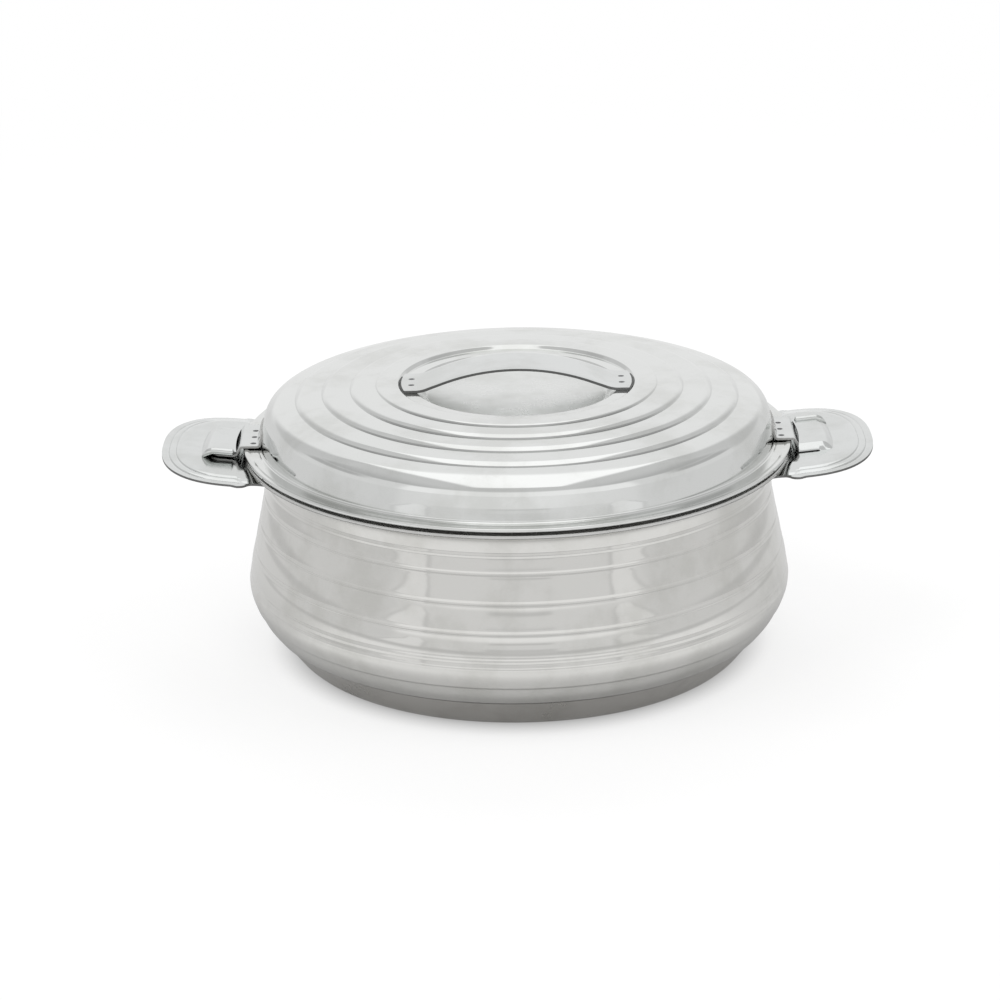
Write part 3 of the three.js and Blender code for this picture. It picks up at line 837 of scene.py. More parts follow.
def body_foam_section():
    bottom = offset(cap_line(), clear)
    wall = offset([seam, shoulder] + shell_line(3)[1:], clear)
    over_lip = wall[0] + (wall[1] - wall[0]).normalized() * (cap_lap + clear)
    wall = [place for place in wall[1:] if place.y < neck.y]
    bowl_side = [place for place in offset(bowl_line(), clear)[::-1]
                 if place.y < neck.y and place.x < bowl_mouth_radius + 2]
    top = [Vector((neck.x - clear, neck.y)), Vector((bowl_side[0].x, neck.y))]
    return stem_hollow(base_recess) + bottom[1:] + [over_lip] + wall + top + bowl_side


turned("lid_insulation", lid_foam_section(), foam_cells, "lid", "insulation_foam", 96)
turned("body_insulation", body_foam_section(), foam_cells, "pot", "insulation_foam", 96)
turned("base_fill_plug", fill_plug(base_recess), plug_plastic, "pot", "plug_plastic", 64)
turned("lid_fill_plug", fill_plug(dish_underside), plug_plastic, "lid", "plug_plastic", 64)

# %% [markdown]
# A side handle is one pressed plate with two low terraces, and a pocket whose roof stands
# over it. The plate is drawn flat, and each point is then lifted by a formula for the
# press's depth there. Last, it is sloped like the real handle and given its thickness. The
# pocket's sizes follow from the tongue of the lock bracket, which has to slide in.

# %% Sizes of a side handle and its pocket
root_x = rim_radius - 1
root_height = rim_edge - 3.6
slope = math.radians(6)
crown_x = root_x + 5
plate_reach = 38.7
half_width = 52
arm_half_width = half_width - 4
arm_inner = arm_half_width - 10
plate_inner_radius = flange_radius - 5
terrace_feet = (3.7, 7.3)
plate_terrace_rise = 0.5
plate_terrace_run = 3.0
foot_groove = 0.3
foot_groove_half_width = 0.3
plate_dome = 0.8
plate_dome_run = 14
plate_field = pressed_sheet + len(terrace_feet) * plate_terrace_rise + plate_dome
tongue_bottom = plate_field + 0.7
roof_bottom = tongue_bottom + pressed_sheet + 0.7
roof_top = roof_bottom + pressed_sheet
tongue_start = flange_radius + 3.8
tongue_end = tongue_start + 11.7
pocket_inner_radius = tongue_start + 0.7
ramp_top_radius = tongue_end + 0.2
ramp_foot_radius = 163.4
closed_top_y = -bracket_half_width - 0.5
closed_foot_y = closed_top_y - 4
open_y = bracket_half_width + 1.5
roof_edge_y = open_y - 1.2
slit_end_x = tongue_end - 1
slit_height = 0.5
print("tongue and pocket roof above the plate, in mm:", tongue_bottom - plate_field,
      roof_bottom - plate_field)

# %% [markdown]
# The outer edge is a superellipse, the curve between an ellipse and a rectangle. Towards
# the pot the plate gets narrower in a soft corner, and two arms reach the neck. Between
# the arms the plate ends in an arc that follows the pot.

# %% The outline of the plan
neck_clearance = 1.9
root_bulge = 1.1
arm_curve = ((-8, 0), (-4.2, 0.7))
root_corner_curve = ((-0.9, -0.9), (1.6, 0.05))
outline_steps = 150


def superellipse_point(inset, angle):
    across = abs(math.sin(angle)) ** 0.8
    along = abs(math.cos(angle)) ** 0.8
    return Vector((crown_x + (plate_reach - inset) * along,
                   math.copysign((half_width - inset) * across, math.sin(angle))))


def outer_edge(inset, count):
    return [superellipse_point(inset, math.pi * (i / count - 0.5)) for i in range(count + 1)]


def at_radius(radius, y):
    return Vector((math.sqrt(radius * radius - y * y), y))


def arc(radius, from_y, to_y, count):
    return [at_radius(radius, from_y + (to_y - from_y) * i / count) for i in range(count + 1)]


def straight(start, end, spacing=1.2):
    count = max(1, round((end - start).length / spacing))
    return [start.lerp(end, i / count) for i in range(count)]


def plate_outline():
    arm_end = neck.x + neck_clearance
    on_arm = [Vector((root_x + x, arm_half_width + y)) for x, y in arm_curve]
    corner = Vector((root_x, half_width + root_bulge))
    on_corner = [corner + Vector(step) for step in root_corner_curve]
    near = flowing([at_radius(arm_end, arm_half_width), *on_arm, *on_corner,
                    Vector((crown_x, half_width))], 1.2)
    front = [Vector((place.x, -place.y)) for place in near]
    inner = arc(plate_inner_radius, arm_inner, -arm_inner, 70)
    return (arc(arm_end, -arm_inner, -arm_half_width, 8)[:-1] + front[:-1]
            + outer_edge(0, outline_steps) + near[::-1][1:]
            + arc(arm_end, arm_half_width, arm_inner, 8)[1:] + inner)


print("plate outline points:", len(plate_outline()))

# %% [markdown]
# The press gives each point of the plate its height. The height depends on how far the point
# lies inside the outline, and under the pocket's roof on its distance from the pot's axis
# and from the closed side. A sine makes every rise start fast and level off softly.

# %% How high the press lifts each point
root_step_start = 0.8
root_step_run = 3.2
root_swell_run = 15
rim_drop_start = 0.5
rim_drop_run = 4.5
roof_sink = 0.3
slit_taper = 2


def inset_of(x, y):
    """How far inside the rounded outline a point lies."""
    if x <= crown_x:
        return half_width - abs(y)
    low, high = -3.0, plate_reach
    for _ in range(24):
        middle = (low + high) / 2
        inside = (((x - crown_x) / (plate_reach - middle)) ** 2.5
                  + (abs(y) / (half_width - middle)) ** 2.5)
        low, high = (middle, high) if inside < 1 else (low, middle)
    return low


def eased(share):
    """Rises fast from 0 and levels off softly at 1."""
    return math.sin(min(max(share, 0), 1) * math.pi / 2)


def plate_level(x, y):
    """The plate's upper face. Its two soft steps have a fine groove along their feet.

    Near the root they run together, and under the rim the plate drops to clear it.
    """
    inset = inset_of(x, y)
    crisp = eased((x - root_x - root_step_start) / root_step_run)
    swell = eased((inset - terrace_feet[0]) / root_swell_run)
    rise = (1 - crisp) * (plate_field - pressed_sheet) * swell
    rise += crisp * plate_dome * eased(inset / plate_dome_run)
    for foot in terrace_feet:
        near = min(abs(inset - foot) / foot_groove_half_width, 1)
        rise += plate_terrace_rise * eased((inset - foot) / plate_terrace_run) * crisp
        rise -= foot_groove * (1 - near) * crisp
    out_of_rim = math.hypot(x, y) - plate_inner_radius - rim_drop_start
    return pressed_sheet + rise * eased(out_of_rim / rim_drop_run)


def roof_level(x, y):
    """The pocket's roof. Its ramps end in the plate, but for a slit at the closed side."""
    outward = eased((ramp_foot_radius - math.hypot(x, y)) / (ramp_foot_radius - ramp_top_radius))
    sideways = eased((y - closed_foot_y) / (closed_top_y - closed_foot_y))
    lift = (roof_top - plate_field) * outward * sideways
    at_slit = (1 - sideways) * eased((slit_end_x - x) / slit_taper)
    return (plate_field - roof_sink + (roof_sink + slit_height) * at_slit
            + roof_sink * sideways * outward + lift)


print("levels of the plate's field and the pocket's roof:", plate_field, roof_top)

# %% [markdown]
# Points are laid close together where the formula bends fast: in rows along the terraces,
# in arcs near the rim and on the pocket's ramp, and in a plain net elsewhere.

# %% Points of the plan
row_insets = (0.6, 1.5, 2.5, 3.4, 3.7, 4.0, 4.4, 4.8, 5.3, 6.0, 7.0, 7.3, 7.6, 8.0, 8.4, 8.9,
              9.6, 10.8)
row_spacing = 0.8
net = 1.5
net_inset = 11.5
rim_arc_spacing = 0.7
ramp_shares = (-0.3, -0.1, 0.05, 0.2, 0.35, 0.5, 0.65, 0.8, 0.92)
closed_side_shares = (0.1, 0.25, 0.4, 0.55, 0.7, 0.85, 1.0, 1.2)


def pocket_loop():
    return (arc(pocket_inner_radius, closed_foot_y, roof_edge_y, 36)
            + straight(at_radius(pocket_inner_radius, roof_edge_y),
                       at_radius(ramp_foot_radius, roof_edge_y), row_spacing)[1:]
            + arc(ramp_foot_radius, roof_edge_y, closed_foot_y, 40)
            + straight(at_radius(ramp_foot_radius, closed_foot_y),
                       at_radius(pocket_inner_radius, closed_foot_y), row_spacing)[1:])


def plan_points():
    """Points in the plan and round it. Those outside the outline are dropped later."""
    points = [place for inset in row_insets for place in outer_edge(inset, outline_steps)]
    for inset in row_insets:
        for side in (-1, 1):
            y = side * (half_width - inset)
            points += straight(Vector((root_x + 0.4, y)), Vector((crown_x, y)), row_spacing)
    for i in range(int(70 / net)):
        for j in range(int(2 * half_width / net)):
            x, y = root_x - 17 + i * net, j * net - half_width
            if inset_of(x, y) > net_inset and math.hypot(x, y) > flange_radius + 1:
                points.append(Vector((x + (j % 2) * net / 2, y)))
    for i in range(14):
        points += arc(flange_radius + 0.6 - i * rim_arc_spacing, -half_width, half_width, 96)
    for share in ramp_shares:
        radius = ramp_top_radius + share * (ramp_foot_radius - ramp_top_radius)
        points += arc(radius, closed_foot_y, roof_edge_y, 44)
    for share in closed_side_shares:
        y = closed_foot_y + share * (closed_top_y - closed_foot_y)
        points += straight(at_radius(pocket_inner_radius, y), at_radius(ramp_foot_radius, y), 0.7)
    return points


print("points in and round the plan:", len(plan_points()))

# %% [markdown]
# A Delaunay triangulation joins the points and keeps the outline and the pocket's loop as
# edges. The same triangles serve twice: all of them make the plate, and those inside the
# pocket's loop make its roof.

# %% Triangles of the plan


def inside_loop(place, loop):
    """Whether a point of the plan lies inside a closed loop, by counting crossings."""
    crossings = 0
    for a, b in zip(loop, loop[1:] + loop[:1]):
        if (a.y > place.y) != (b.y > place.y):
            crossings += place.x < a.x + (b.x - a.x) * (place.y - a.y) / (b.y - a.y)
    return crossings % 2 == 1


def plan_triangles():
    """Corner places, the plate's triangles, and the triangles of the pocket's roof."""
    outline, pocket = plate_outline(), pocket_loop()
    inner = [place for place in plan_points() if inside_loop(place, outline)]
    corners, edges = [], []
    for chain in (outline, pocket):
        first = len(corners)
        corners += chain
        edges += [(first + i, first + (i + 1) % len(chain)) for i in range(len(chain))]
    places, _, triangles, *_ = geometry.delaunay_2d_cdt(corners + inner, edges, [], 0, 1e-4)
    middles = [sum((places[i] for i in corner_ids), Vector((0, 0))) / 3
               for corner_ids in triangles]
    plate = [ids for ids, middle in zip(triangles, middles) if inside_loop(middle, outline)]
    roof = [ids for ids, middle in zip(triangles, middles) if inside_loop(middle, pocket)]
    return places, plate, roof


def sloped(x, y, level):
    """A point of the flat plate, sloped up from its root."""
    along = x - root_x
    return Vector((root_x + along * math.cos(slope) - level * math.sin(slope), y,
                   root_height - pressed_sheet + along * math.sin(slope)
                   + level * math.cos(slope)))


def add_sheet(mesh, places, triangles, level):
    """Adds triangles of the plan to a bmesh, each corner at its level."""
    corners = {}
    for triangle in triangles:
        for i in triangle:
            if i not in corners:
                x, y = places[i]
                corners[i] = mesh.verts.new(sloped(x, y, level(x, y)) * MM)
        mesh.faces.new([corners[i] for i in triangle])


plan = plan_triangles()
print("plan:", len(plan[1]), "triangles in the plate and", len(plan[2]), "in the roof")

# %% [markdown]
# The pocket's open side ends in a curled lip, which guides the tongue in. It is a thin roll
# along the roof's edge that bends down into the plate. Two tabs turned down from the arms
# lie against the neck, where they are welded.

# %% Curled lip and weld tabs
lip_roll_radius = 1.8
lip_roll_sink = 0.6
lip_steps = 30
tab_length = 5
tab_drop = 0.6


def add_tube(mesh, path, radii, sides=14):
    """Adds a closed round bar along a path, with one radius for each of its points."""
    rings = []
    turns = [math.tau * j / sides for j in range(sides)]
    for i, (here, radius) in enumerate(zip(path, radii)):
        along = (path[min(i + 1, len(path) - 1)] - path[max(i - 1, 0)]).normalized()
        side = along.cross(Vector((0, 1, 0))).normalized()
        up = side.cross(along)
        ring = [here + (side * math.cos(turn) + up * math.sin(turn)) * radius for turn in turns]
        rings.append([mesh.verts.new(place * MM) for place in ring])
    for low, high in zip(rings, rings[1:]):
        for j in range(sides):
            mesh.faces.new((low[j], low[(j + 1) % sides], high[(j + 1) % sides], high[j]))
    mesh.faces.new(rings[0][::-1])
    mesh.faces.new(rings[-1])


def lip_roll():
    """The lip's path and radii: thin at the rim, full along the roof, thin in the plate."""
    start, end = pocket_inner_radius - 0.1, ramp_foot_radius - 1.2
    path, radii = [], []
    for i in range(lip_steps + 1):
        share = i / lip_steps
        x = start + (end - start) * share
        drop = roof_level(x, roof_edge_y) - roof_top
        level = roof_bottom + lip_roll_radius - lip_roll_sink + drop
        path.append(sloped(x, open_y - 0.1, level))
        taper = min(1, (1 - share) * 5) ** 0.5
        cap = min(1, 0.35 + share * 18)
        radii.append(max(lip_roll_radius * taper * cap, 0.25))
    return path, radii


def weld_tab(side):
    """A strip of the neck's own curve, from the arm down, as rows of points."""
    line = offset(shell_line(1.2), -(gap + ring_rise + pressed_sheet))
    middle = (arm_half_width + arm_inner) / 2
    arm_x = math.sqrt(neck.x ** 2 - middle ** 2)
    top = root_height + (arm_x - root_x) * math.tan(slope) - tab_drop
    across = [side * middle + (arm_half_width - arm_inner) * (j / 8 - 0.5) for j in range(9)]
    rows = []
    for place in line:
        if top - tab_length < place.y < top:
            rows.append([Vector((math.sqrt(place.x ** 2 - y * y), y, place.y)) for y in across])
    return rows[::-1]


print("rows of a weld tab:", len(weld_tab(1)))

# %% [markdown]
# A pressed piece is first an open sheet, its upper face. A solidify modifier then gives it
# the thickness of the strip, with a second finish on the cut edge, and a fine bevel breaks
# that edge, as tumbling does in the factory.

# %% Sheets with a thickness


def add_grid(mesh, rows):
    """Adds a sheet. Its upper face is the one that sees the rows run away and points go left."""
    corners = [[mesh.verts.new(place * MM) for place in row] for row in rows]
    for near, far in zip(corners, corners[1:]):
        for j in range(len(near) - 1):
            mesh.faces.new((near[j], far[j], far[j + 1], near[j + 1]))


def finish_sheet(name, mesh, edge=0.2, rim=painted_shade_edge, thickness=pressed_sheet):
    """Gives a sheet its thickness, below its upper face, and fine rounds on its cut edges."""
    data = bpy.data.meshes.new(name)
    mesh.to_mesh(data)
    mesh.free()
    data.materials.append(plate_steel)
    data.materials.append(rim)
    data.shade_smooth()
    source = new_object(name + "_sheet", data)
    solidify = source.modifiers.new("sheet", "SOLIDIFY")
    solidify.thickness = thickness * MM
    solidify.offset = -1
    # The cut edge takes the second finish, which is painted shade, or painted light on the
    # brackets.
    solidify.material_offset_rim = 1
    bevel = source.modifiers.new("edge", "BEVEL")
    bevel.width = edge * MM
    bevel.segments = 2
    bevel.limit_method = "ANGLE"
    bevel.angle_limit = math.radians(50)
    return evaluated(source, name)


def add_rolled_lip(piece):
    """Joins the curled lip to a handle's mesh."""
    whole, roll = bmesh.new(), bmesh.new()
    whole.from_mesh(piece.data)
    add_tube(roll, *lip_roll())
    roll_data = bpy.data.meshes.new("lip_roll")
    roll.to_mesh(roll_data)
    roll_data.shade_smooth()
    roll.free()
    whole.from_mesh(roll_data)
    whole.to_mesh(piece.data)
    whole.free()


print("sheet thickness of pressed pieces:", pressed_sheet)

# %% [markdown]
# Both handles come from one press tool, and the left one is the right one turned half round
# about the pot's axis. So the pockets open on opposite sides, which lets the lid lock and
# unlock by a turn.

# %% Finished handles


def side_handle(name, turn):
    sheet_mesh = bmesh.new()
    places, plate, roof = plan
    add_sheet(sheet_mesh, places, plate, plate_level)
    add_sheet(sheet_mesh, places, roof, roof_level)
    bmesh.ops.remove_doubles(sheet_mesh, verts=sheet_mesh.verts, dist=0.02 * MM)
    for side in (-1, 1):
        add_grid(sheet_mesh, weld_tab(side))
    piece = finish_sheet(name, sheet_mesh)
    add_rolled_lip(piece)
    piece.data.transform(Matrix.Rotation(turn, 4, "Z"))
    print(name, "faces:", len(piece.data.polygons))
    return piece


for name, turn in (("handle_right", 0), ("handle_left", math.pi)):
    place_piece(side_handle(name + "_skin", turn), "pot", "pressed_steel", name)

# %% [markdown]
# Each lock bracket is a bent strip: a leg welded to the lid's wall, a flat on the flange and
# a tongue that drops past the rim and lies in the handle's pocket. The leg follows the
# wall's curve, and the rest is straight across.

# %% A lock bracket seen from the side
bracket_flat = flange_height + roll_rise + gap + pressed_sheet
leg_height = 5


def plate_height(x, level):
    """How high a level of the sloped handle plate lies at a distance from the axis."""
    return (root_height - pressed_sheet + level / math.cos(slope)
            + (x - root_x) * math.tan(slope))


def bracket_line():
    """The strip seen from the side, from the leg's top to the tongue's end."""
    leg_lean = (wall_radius - lid_point(*wall_top_shares).x) / (lid_rise * wall_top_shares[1])
    foot_x = wall_radius + gap + pressed_sheet - leg_lean * (bracket_flat - flange_height)
    line = rounded([
        (foot_x - leg_lean * leg_height, bracket_flat + leg_height, 0),
        (foot_x, bracket_flat, 1.2),
        (flange_radius + 0.5, bracket_flat, 1.6),
        (tongue_start, plate_height(tongue_start, tongue_bottom + pressed_sheet), 2.2),
        (tongue_end, plate_height(tongue_end, tongue_bottom + pressed_sheet), 0),
    ], arc_steps=5)
    fine = [line[0]]
    for a, b in zip(line, line[1:]):
        fine += [a.lerp(b, (i + 1) / 3) for i in range(3)]
    return fine


print("length of the bracket's leg and tongue, in mm:", leg_height, tongue_end - tongue_start)

# %% [markdown]
# The strip gets its width row by row. Both ends have round corners, as blanked strip has,
# and the leg's rows bend with the wall that they are welded to.

# %% Finished brackets
leg_corner = 4
tongue_corner = Vector((3, 2.2))


def held(share):
    """A share kept between 0 and 1."""
    return min(max(share, 0), 1)


def bracket_rows():
    """The strip as rows of points, with round corners at the leg and the tongue."""
    leg_top = bracket_flat + leg_height
    rows = []
    for place in bracket_line():
        leg = held((flange_radius - place.x) / (flange_radius - wall_radius))
        up = held((place.y - leg_top + leg_corner) / leg_corner)
        half = bracket_half_width - leg_corner * (1 - math.sqrt(1 - up * up))
        out = held((place.x - tongue_end + tongue_corner.x) / tongue_corner.x)
        half -= tongue_corner.y * (1 - math.sqrt(1 - out * out))
        row = []
        for j in range(33):
            y = half * (j / 16 - 1)
            sag = wall_radius - math.sqrt(wall_radius ** 2 - y * y)
            row.append(Vector((place.x - sag * leg, y, place.y)))
        rows.append(row)
    return rows


for name, turn in (("lock_bracket_right", 0), ("lock_bracket_left", math.pi)):
    strip = bmesh.new()
    add_grid(strip, bracket_rows())
    # The bracket's edges take the paler finish, painted light where they lie in shade.
    piece = finish_sheet(name + "_skin", strip, rim=painted_lit_edge)
    piece.data.transform(Matrix.Rotation(turn, 4, "Z"))
    place_piece(piece, "lid", "pressed_steel", name)
    print(name, "faces:", len(piece.data.polygons))

# %% [markdown]
# The strap handle is an arch of pressed strip. Its feet are flat and end in the same circle
# as the recess, and the long edges of the arch are turned down, so no hand meets a raw edge.

# %% Strap handle
foot_length = 10.8
arch_half = strap_half_length - foot_length
foot_top = ledge_height + gap + pressed_sheet
arch_rise = strap_top - foot_top
arch_radius = (arch_half ** 2 + arch_rise ** 2) / (2 * arch_rise)
hem_drop = 0.4
hem_round = 3.5
foot_bend = 3.2
strap_edge_extra = 0.25


def strap_height(x):
    """The strap's upper face: flat feet, an arch, and a small bend where they meet."""
    if abs(x) >= arch_half:
        return foot_top
    return foot_top + arch_rise - arch_radius + math.sqrt(arch_radius ** 2 - x * x)


def softened_height(x):
    """The same height, averaged over a short reach, which rounds the bends at the feet."""
    return sum(strap_height(x + foot_bend * (i / 4 - 1)) for i in range(9)) / 9


def strap_rows():
    """The strap as rows of points across it. Its ends follow one circle."""
    rows = []
    for i in range(161):
        share = i / 80 - 1
        turn_down = eased((arch_half - 2 - abs(share) * strap_half_length) / 7)
        row = []
        for j in range(-16, 17):
            y = strap_half_width * math.sin(math.pi / 2 * j / 16)
            edge = max(0, (abs(y) - strap_half_width + hem_round) / hem_round)
            drop = hem_drop * edge * edge
            x = share * math.sqrt(strap_half_length ** 2 - y * y)
            row.append(Vector((x, y, softened_height(x) - drop * turn_down)))
        rows.append(row)
    return rows


strap_strip = bmesh.new()
add_grid(strap_strip, strap_rows())
strap = finish_sheet("lid_strap_handle_skin", strap_strip, 0.08,
                     thickness=pressed_sheet + strap_edge_extra)
place_piece(strap, "lid", "pressed_steel", "lid_strap_handle")
print("strap faces:", len(strap.data.polygons))

# %% [markdown]
# Resistance welds leave small pits in the sheet, whose shade is painted as dark dashes. A
# Geometry Nodes tree sets one flattened bead on each point of a list, so the size of all
# marks is kept in one place.

# %% A tree that sets weld marks


def marks_tree():
    """A tree that sets a flattened bead on every point that it is given."""
    start, points, size, finish = new_tree(
        "weld_marks", {"Points": "Geometry", "Size": "Vector", "Finish": "Material"}, "Marks")
    bead = start.node("GeometryNodeMeshUVSphere", inputs={
        "Segments": 16, "Rings": 8, "Radius": 1.0}, output="Mesh")
    marks = start.node("GeometryNodeInstanceOnPoints", inputs={
        "Points": points, "Instance": bead, "Scale": size})
    return close_tree(start, "Marks", marks, finish)


mark_tree = marks_tree()
print("nodes in the weld mark tree:", len(mark_tree.nodes))

# %% [markdown]
# Each bracket is held by three marks on its flat, and each foot of the strap by two. They
# ride the lid with the pieces that they hold, and they replace nothing.

# %% Weld marks
bracket_mark_x = 135.6
bracket_mark_ys = (-13, -3, 7)
bracket_mark_size = (1.6, 1.4, 0.12)
strap_mark_x = 54
strap_mark_ys = (-5, 5)
strap_mark_size = (1.6, 1.3, 0.12)


def weld_marks(name, places, size, body):
    """Sets marks of one size, in millimetres, on a flat sheet at the given places."""
    mesh = bpy.data.meshes.new(name)
    mesh.from_pydata([tuple(place * MM) for place in places], [], [])
    source = new_object(name + "_points", mesh)
    size_in_metres = [value * MM for value in size]
    piece = run_tree(source, mark_tree, {"Size": size_in_metres, "Finish": painted_weld_pit_shade}, name)
    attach(piece, body)
    print(name, "marks:", len(places))


bracket_marks = [Vector((side * bracket_mark_x, y, bracket_flat))
                 for side in (-1, 1) for y in bracket_mark_ys]
strap_marks = [Vector((side * strap_mark_x, y, foot_top))
               for side in (-1, 1) for y in strap_mark_ys]
weld_marks("bracket_weld_marks", bracket_marks, bracket_mark_size, "lid")
weld_marks("strap_weld_marks", strap_marks, strap_mark_size, "lid")

# %% [markdown]
# Polished steel shows the room more than the lamps. The room is painted by direction, and
# the floor repeats the same painting below the horizon, so each band of the pot shows one
# picture from its top to its bottom. Mirror rays see it, and the camera sees plain white.

# %% Painting by direction
ceiling_shade = 0.66
ceiling_side_shade = 0.52
wall_shade = 0.98
wall_side_shade = 0.78
low_wall_shade = 0.8
low_wall_side_shade = 0.74


def painted(level, shade, where):
    """The level turned towards a shade, by a weight from 0 to 1."""
    return level + (shade - level) * where


def window(value, rise, fall):
    """A weight that rises over one range of a value and falls over a later one."""
    return value.between(*rise) * (1 - value.between(*fall))


def with_walls(level, up, round_from_camera):
    """A bright wall before the pot and a duller one at its sides, both darker low down."""
    at_side = round_from_camera.between(50, 56)
    wall = 1 - up.between(28, 36)
    level = painted(level, wall_shade, wall)
    level = painted(level, wall_side_shade, wall * at_side)
    low_wall = 1 - up.between(5, 9)
    level = painted(level, low_wall_shade, low_wall)
    return painted(level, low_wall_side_shade, low_wall * at_side)


print("shades of the wall, before and at the sides:", wall_shade, wall_side_shade)

# %% [markdown]
# The floor of the room is bright in front, with one grey line across it, and a painted
# shadow darkens it close to the pot. The sides and the back have their own walls. A soft box
# hangs overhead, a pale stand is on each side of the camera, and the camera itself makes two
# soft grey bars.

# %% The room that the steel shows
near_floor_shade = 0.94
floor_line_shade = 0.6
deep_floor_shade = 0.49
dark_card_shade = 0.5
side_low_shade = 0.75
side_high_shade = 0.64
back_shade = 0.91
soft_box_shade = 1.2
stand_shade = 0.88
stand_outline_shade = 0.68
stand_angle = 44
camera_shade = 0.66


def with_floor_and_sides(level, up, round_from_camera):
    """The floor's bands with a painted shadow close to the pot, a dark card on each side, the
    side walls and the back wall.
    """
    before = 1 - round_from_camera.between(60, 90)
    level = painted(level, near_floor_shade, (1 - up.between(-11.5, -10)) * before)
    level = painted(level, floor_line_shade, window(up, (-11, -9.5), (-8.5, -7)))
    # A painted shadow on the floor close round the pot.
    level = painted(level, deep_floor_shade, 1 - up.between(-30, -19))
    dark_card = window(round_from_camera, (70, 85), (125, 140)) * window(up, (20, 24), (31, 35))
    level = painted(level, dark_card_shade, dark_card)
    side_wall = round_from_camera.between(110, 125) * (1 - up.between(46, 54))
    level = painted(level, side_low_shade, side_wall * up.between(-10, -6))
    level = painted(level, side_high_shade, side_wall * up.between(12, 18))
    behind = round_from_camera.between(152, 176)
    low_behind = round_from_camera.between(146, 162) * up.between(4, 12)
    behind = behind.maths("MAXIMUM", low_behind)
    return painted(level, back_shade, behind * (1 - up.between(41, 44)))


def with_stands_and_camera(level, up, round_from_camera):
    """Two outlined stands that widen downward, and the camera's two grey bars."""
    stand_width = 2 + (6 - up) * 0.5
    off_stand = (round_from_camera - stand_angle).maths("ABSOLUTE") / stand_width
    near_horizon = window(up, (-9, -7), (3, 5))
    level = painted(level, stand_shade, (1 - off_stand.between(0.8, 1.0)) * near_horizon)
    outline = window(off_stand, (0.75, 1.0), (1.0, 1.3))
    level = painted(level, stand_outline_shade, outline * near_horizon)
    camera = 1 - round_from_camera.between(11, 15)
    camera_rows = window(up, (-10, -8), (-5, -4)) + window(up, (2, 3), (5, 6))
    return painted(level, camera_shade, camera * camera_rows)


def room_level(direction):
    """How bright the room is in a direction, seen from the pot."""
    x, y, z = direction.parts()
    up = z.maths("ARCSINE") * math.degrees(1)
    round_from_camera = x.maths("ABSOLUTE").maths("ARCTAN2", 0 - y) * math.degrees(1)
    sideways = (x / (z.maths("ABSOLUTE") + 0.01)).maths("ABSOLUTE")
    forward = (0 - y) / (z.maths("ABSOLUTE") + 0.01)
    level = painted(ceiling_shade, ceiling_side_shade, sideways.between(0.5, 1.2))
    level = with_walls(level, up, round_from_camera)
    level = with_floor_and_sides(level, up, round_from_camera)
    soft_box = (z.between(0.3, 0.5) * (1 - sideways.between(0.28, 0.36))
                * window(forward, (-1.15, -1.03), (0.6, 0.7)))
    level = painted(level, soft_box_shade, soft_box)
    return with_stands_and_camera(level, up, round_from_camera)


print("shades of the soft box and the floor by the pot:", soft_box_shade, deep_floor_shade)

# %% [markdown]
# The floor is plain pale paper. The camera sees a painted shadow on it close round the foot,
# and far out it turns into the plain white of the background.

# %% Floor
floor_reach = 6.0
foot_shade_ring = (0.105, 0.135)
paper_fades = (0.35, 1.3)
paper_glow = 0.72
foot_shade = 0.5
mirrored_glow = 0.58
paper_albedo = 0.86
room_centre = (0, 0, 0.07)


def floor_material():
    """Paper that camera rays see as plain but for a painted shadow round the foot, and that
    mirror rays see with the room's shades.
    """
    material, start = new_material("studio_floor")
    camera_ray, glossy_ray, through_ray = (
        start.node("ShaderNodeLightPath", output=ray)
        for ray in ("Is Camera Ray", "Is Glossy Ray", "Is Transmission Ray"))
    place = start.node("ShaderNodeTexCoord", output="Object")
    from_pot = start.node("ShaderNodeVectorMath", {"operation": "SUBTRACT"},
                          {0: place, 1: room_centre})
    direction = start.node("ShaderNodeVectorMath", {"operation": "NORMALIZE"}, {0: from_pot})
    distance = start.node("ShaderNodeVectorMath", {"operation": "LENGTH"}, {0: place}, "Value")
    far = distance.between(*paper_fades)
    shown = room_level(direction)
    seen = camera_ray.maths("MAXIMUM", through_ray)
    # A painted shadow round the foot, seen by the camera.
    painted_foot_shadow = 1 - distance.between(*foot_shade_ring)
    glow = (seen * (paper_glow - painted_foot_shadow * foot_shade)
            + glossy_ray * shown * shown * mirrored_glow)
    albedo = paper_albedo - seen * 0.57 - glossy_ray * 0.46
    paper = start.node("ShaderNodeBsdfPrincipled", inputs={
        "Base Color": albedo.grey(), "Roughness": 0.9,
        "Emission Color": glow.grey(), "Emission Strength": 1.0})
    beyond = seen + glossy_ray * shown
    white = start.node("ShaderNodeEmission", inputs={
        "Color": beyond.grey(), "Strength": 1.0})
    finish_with(start, start.node("ShaderNodeMixShader", inputs={
        0: far * (seen + glossy_ray), 1: paper, 2: white}))
    return material


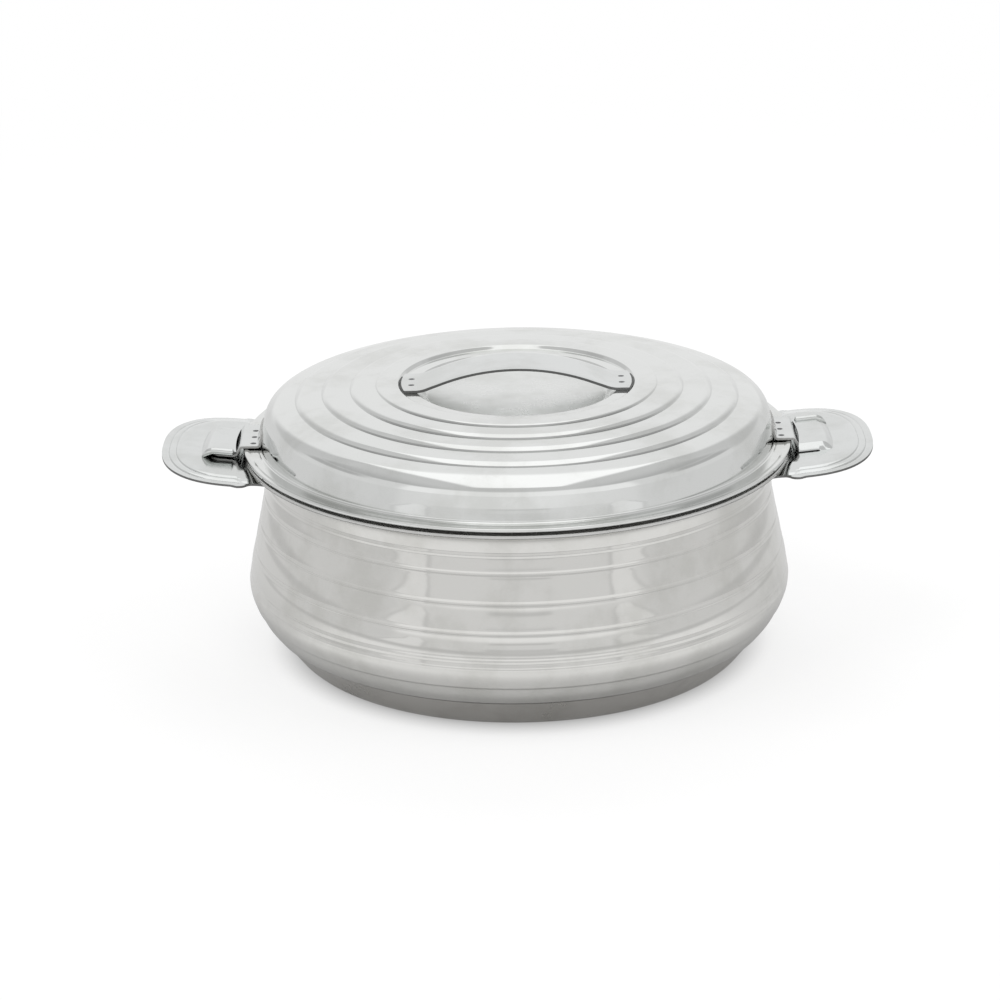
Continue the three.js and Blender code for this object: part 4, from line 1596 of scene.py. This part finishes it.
floor_mesh = bpy.data.meshes.new("floor")
floor_corners = [(x * floor_reach, y * floor_reach, 0)
                 for x, y in ((-1, -1), (1, -1), (1, 1), (-1, 1))]
floor_mesh.from_pydata(floor_corners, [], [(0, 1, 2, 3)])
floor_mesh.materials.append(floor_material())
floor = new_object("floor", floor_mesh)
print("floor reaches, in metres from the axis:", floor_reach)

# %% [markdown]
# Wide area lamps stand in for the photographer's soft boxes. They light the floor and the
# foam. Mirror rays don't see them, because the painted room has its own soft box.

# %% World and lamps
even_light = 0.62
lamp_aim = (0, 0, 0.05)


def studio_world():
    """White for the camera, the painted room for mirror rays, even light for the rest."""
    world = bpy.data.worlds.new("studio")
    bpy.context.scene.world = world
    world.use_nodes = True
    world.node_tree.nodes.clear()
    start = Wire(world.node_tree)
    glossy_ray = start.node("ShaderNodeLightPath", output="Is Glossy Ray")
    seen = start.node("ShaderNodeLightPath", output="Is Camera Ray").maths(
        "MAXIMUM", start.node("ShaderNodeLightPath", output="Is Transmission Ray"))
    direction = start.node("ShaderNodeTexCoord", output="Generated")
    level = glossy_ray * room_level(direction) + (1 - glossy_ray) * even_light
    level = seen + (1 - seen) * level
    white = start.node("ShaderNodeCombineXYZ", inputs={0: level, 1: level, 2: level})
    start.node("ShaderNodeOutputWorld", inputs={"Surface": start.node(
        "ShaderNodeBackground", inputs={"Color": white, "Strength": 1.0})})


def area_lamp(name, place, size, power):
    """A wide soft lamp that points at the pot and that mirror rays don't see."""
    data = bpy.data.lights.new(name, "AREA")
    data.shape = "RECTANGLE"
    data.size, data.size_y = size
    data.energy = power
    lamp = bpy.data.objects.new(name, data)
    bpy.context.scene.collection.objects.link(lamp)
    lamp.location = place
    lamp.rotation_mode = "QUATERNION"
    lamp.rotation_quaternion = (Vector(lamp_aim) - Vector(place)).to_track_quat("-Z", "Y")
    lamp.visible_glossy = False


studio_world()
area_lamp("key_soft_box", (-0.9, -0.5, 1.7), (1.2, 1.2), 9)
area_lamp("fill_soft_box", (1.1, -0.3, 1.5), (1.0, 1.0), 5)
area_lamp("back_soft_box", (0.1, 1.3, 1.6), (1.8, 1.0), 8)
bpy.context.scene.view_settings.view_transform = "Standard"

# %% [markdown]
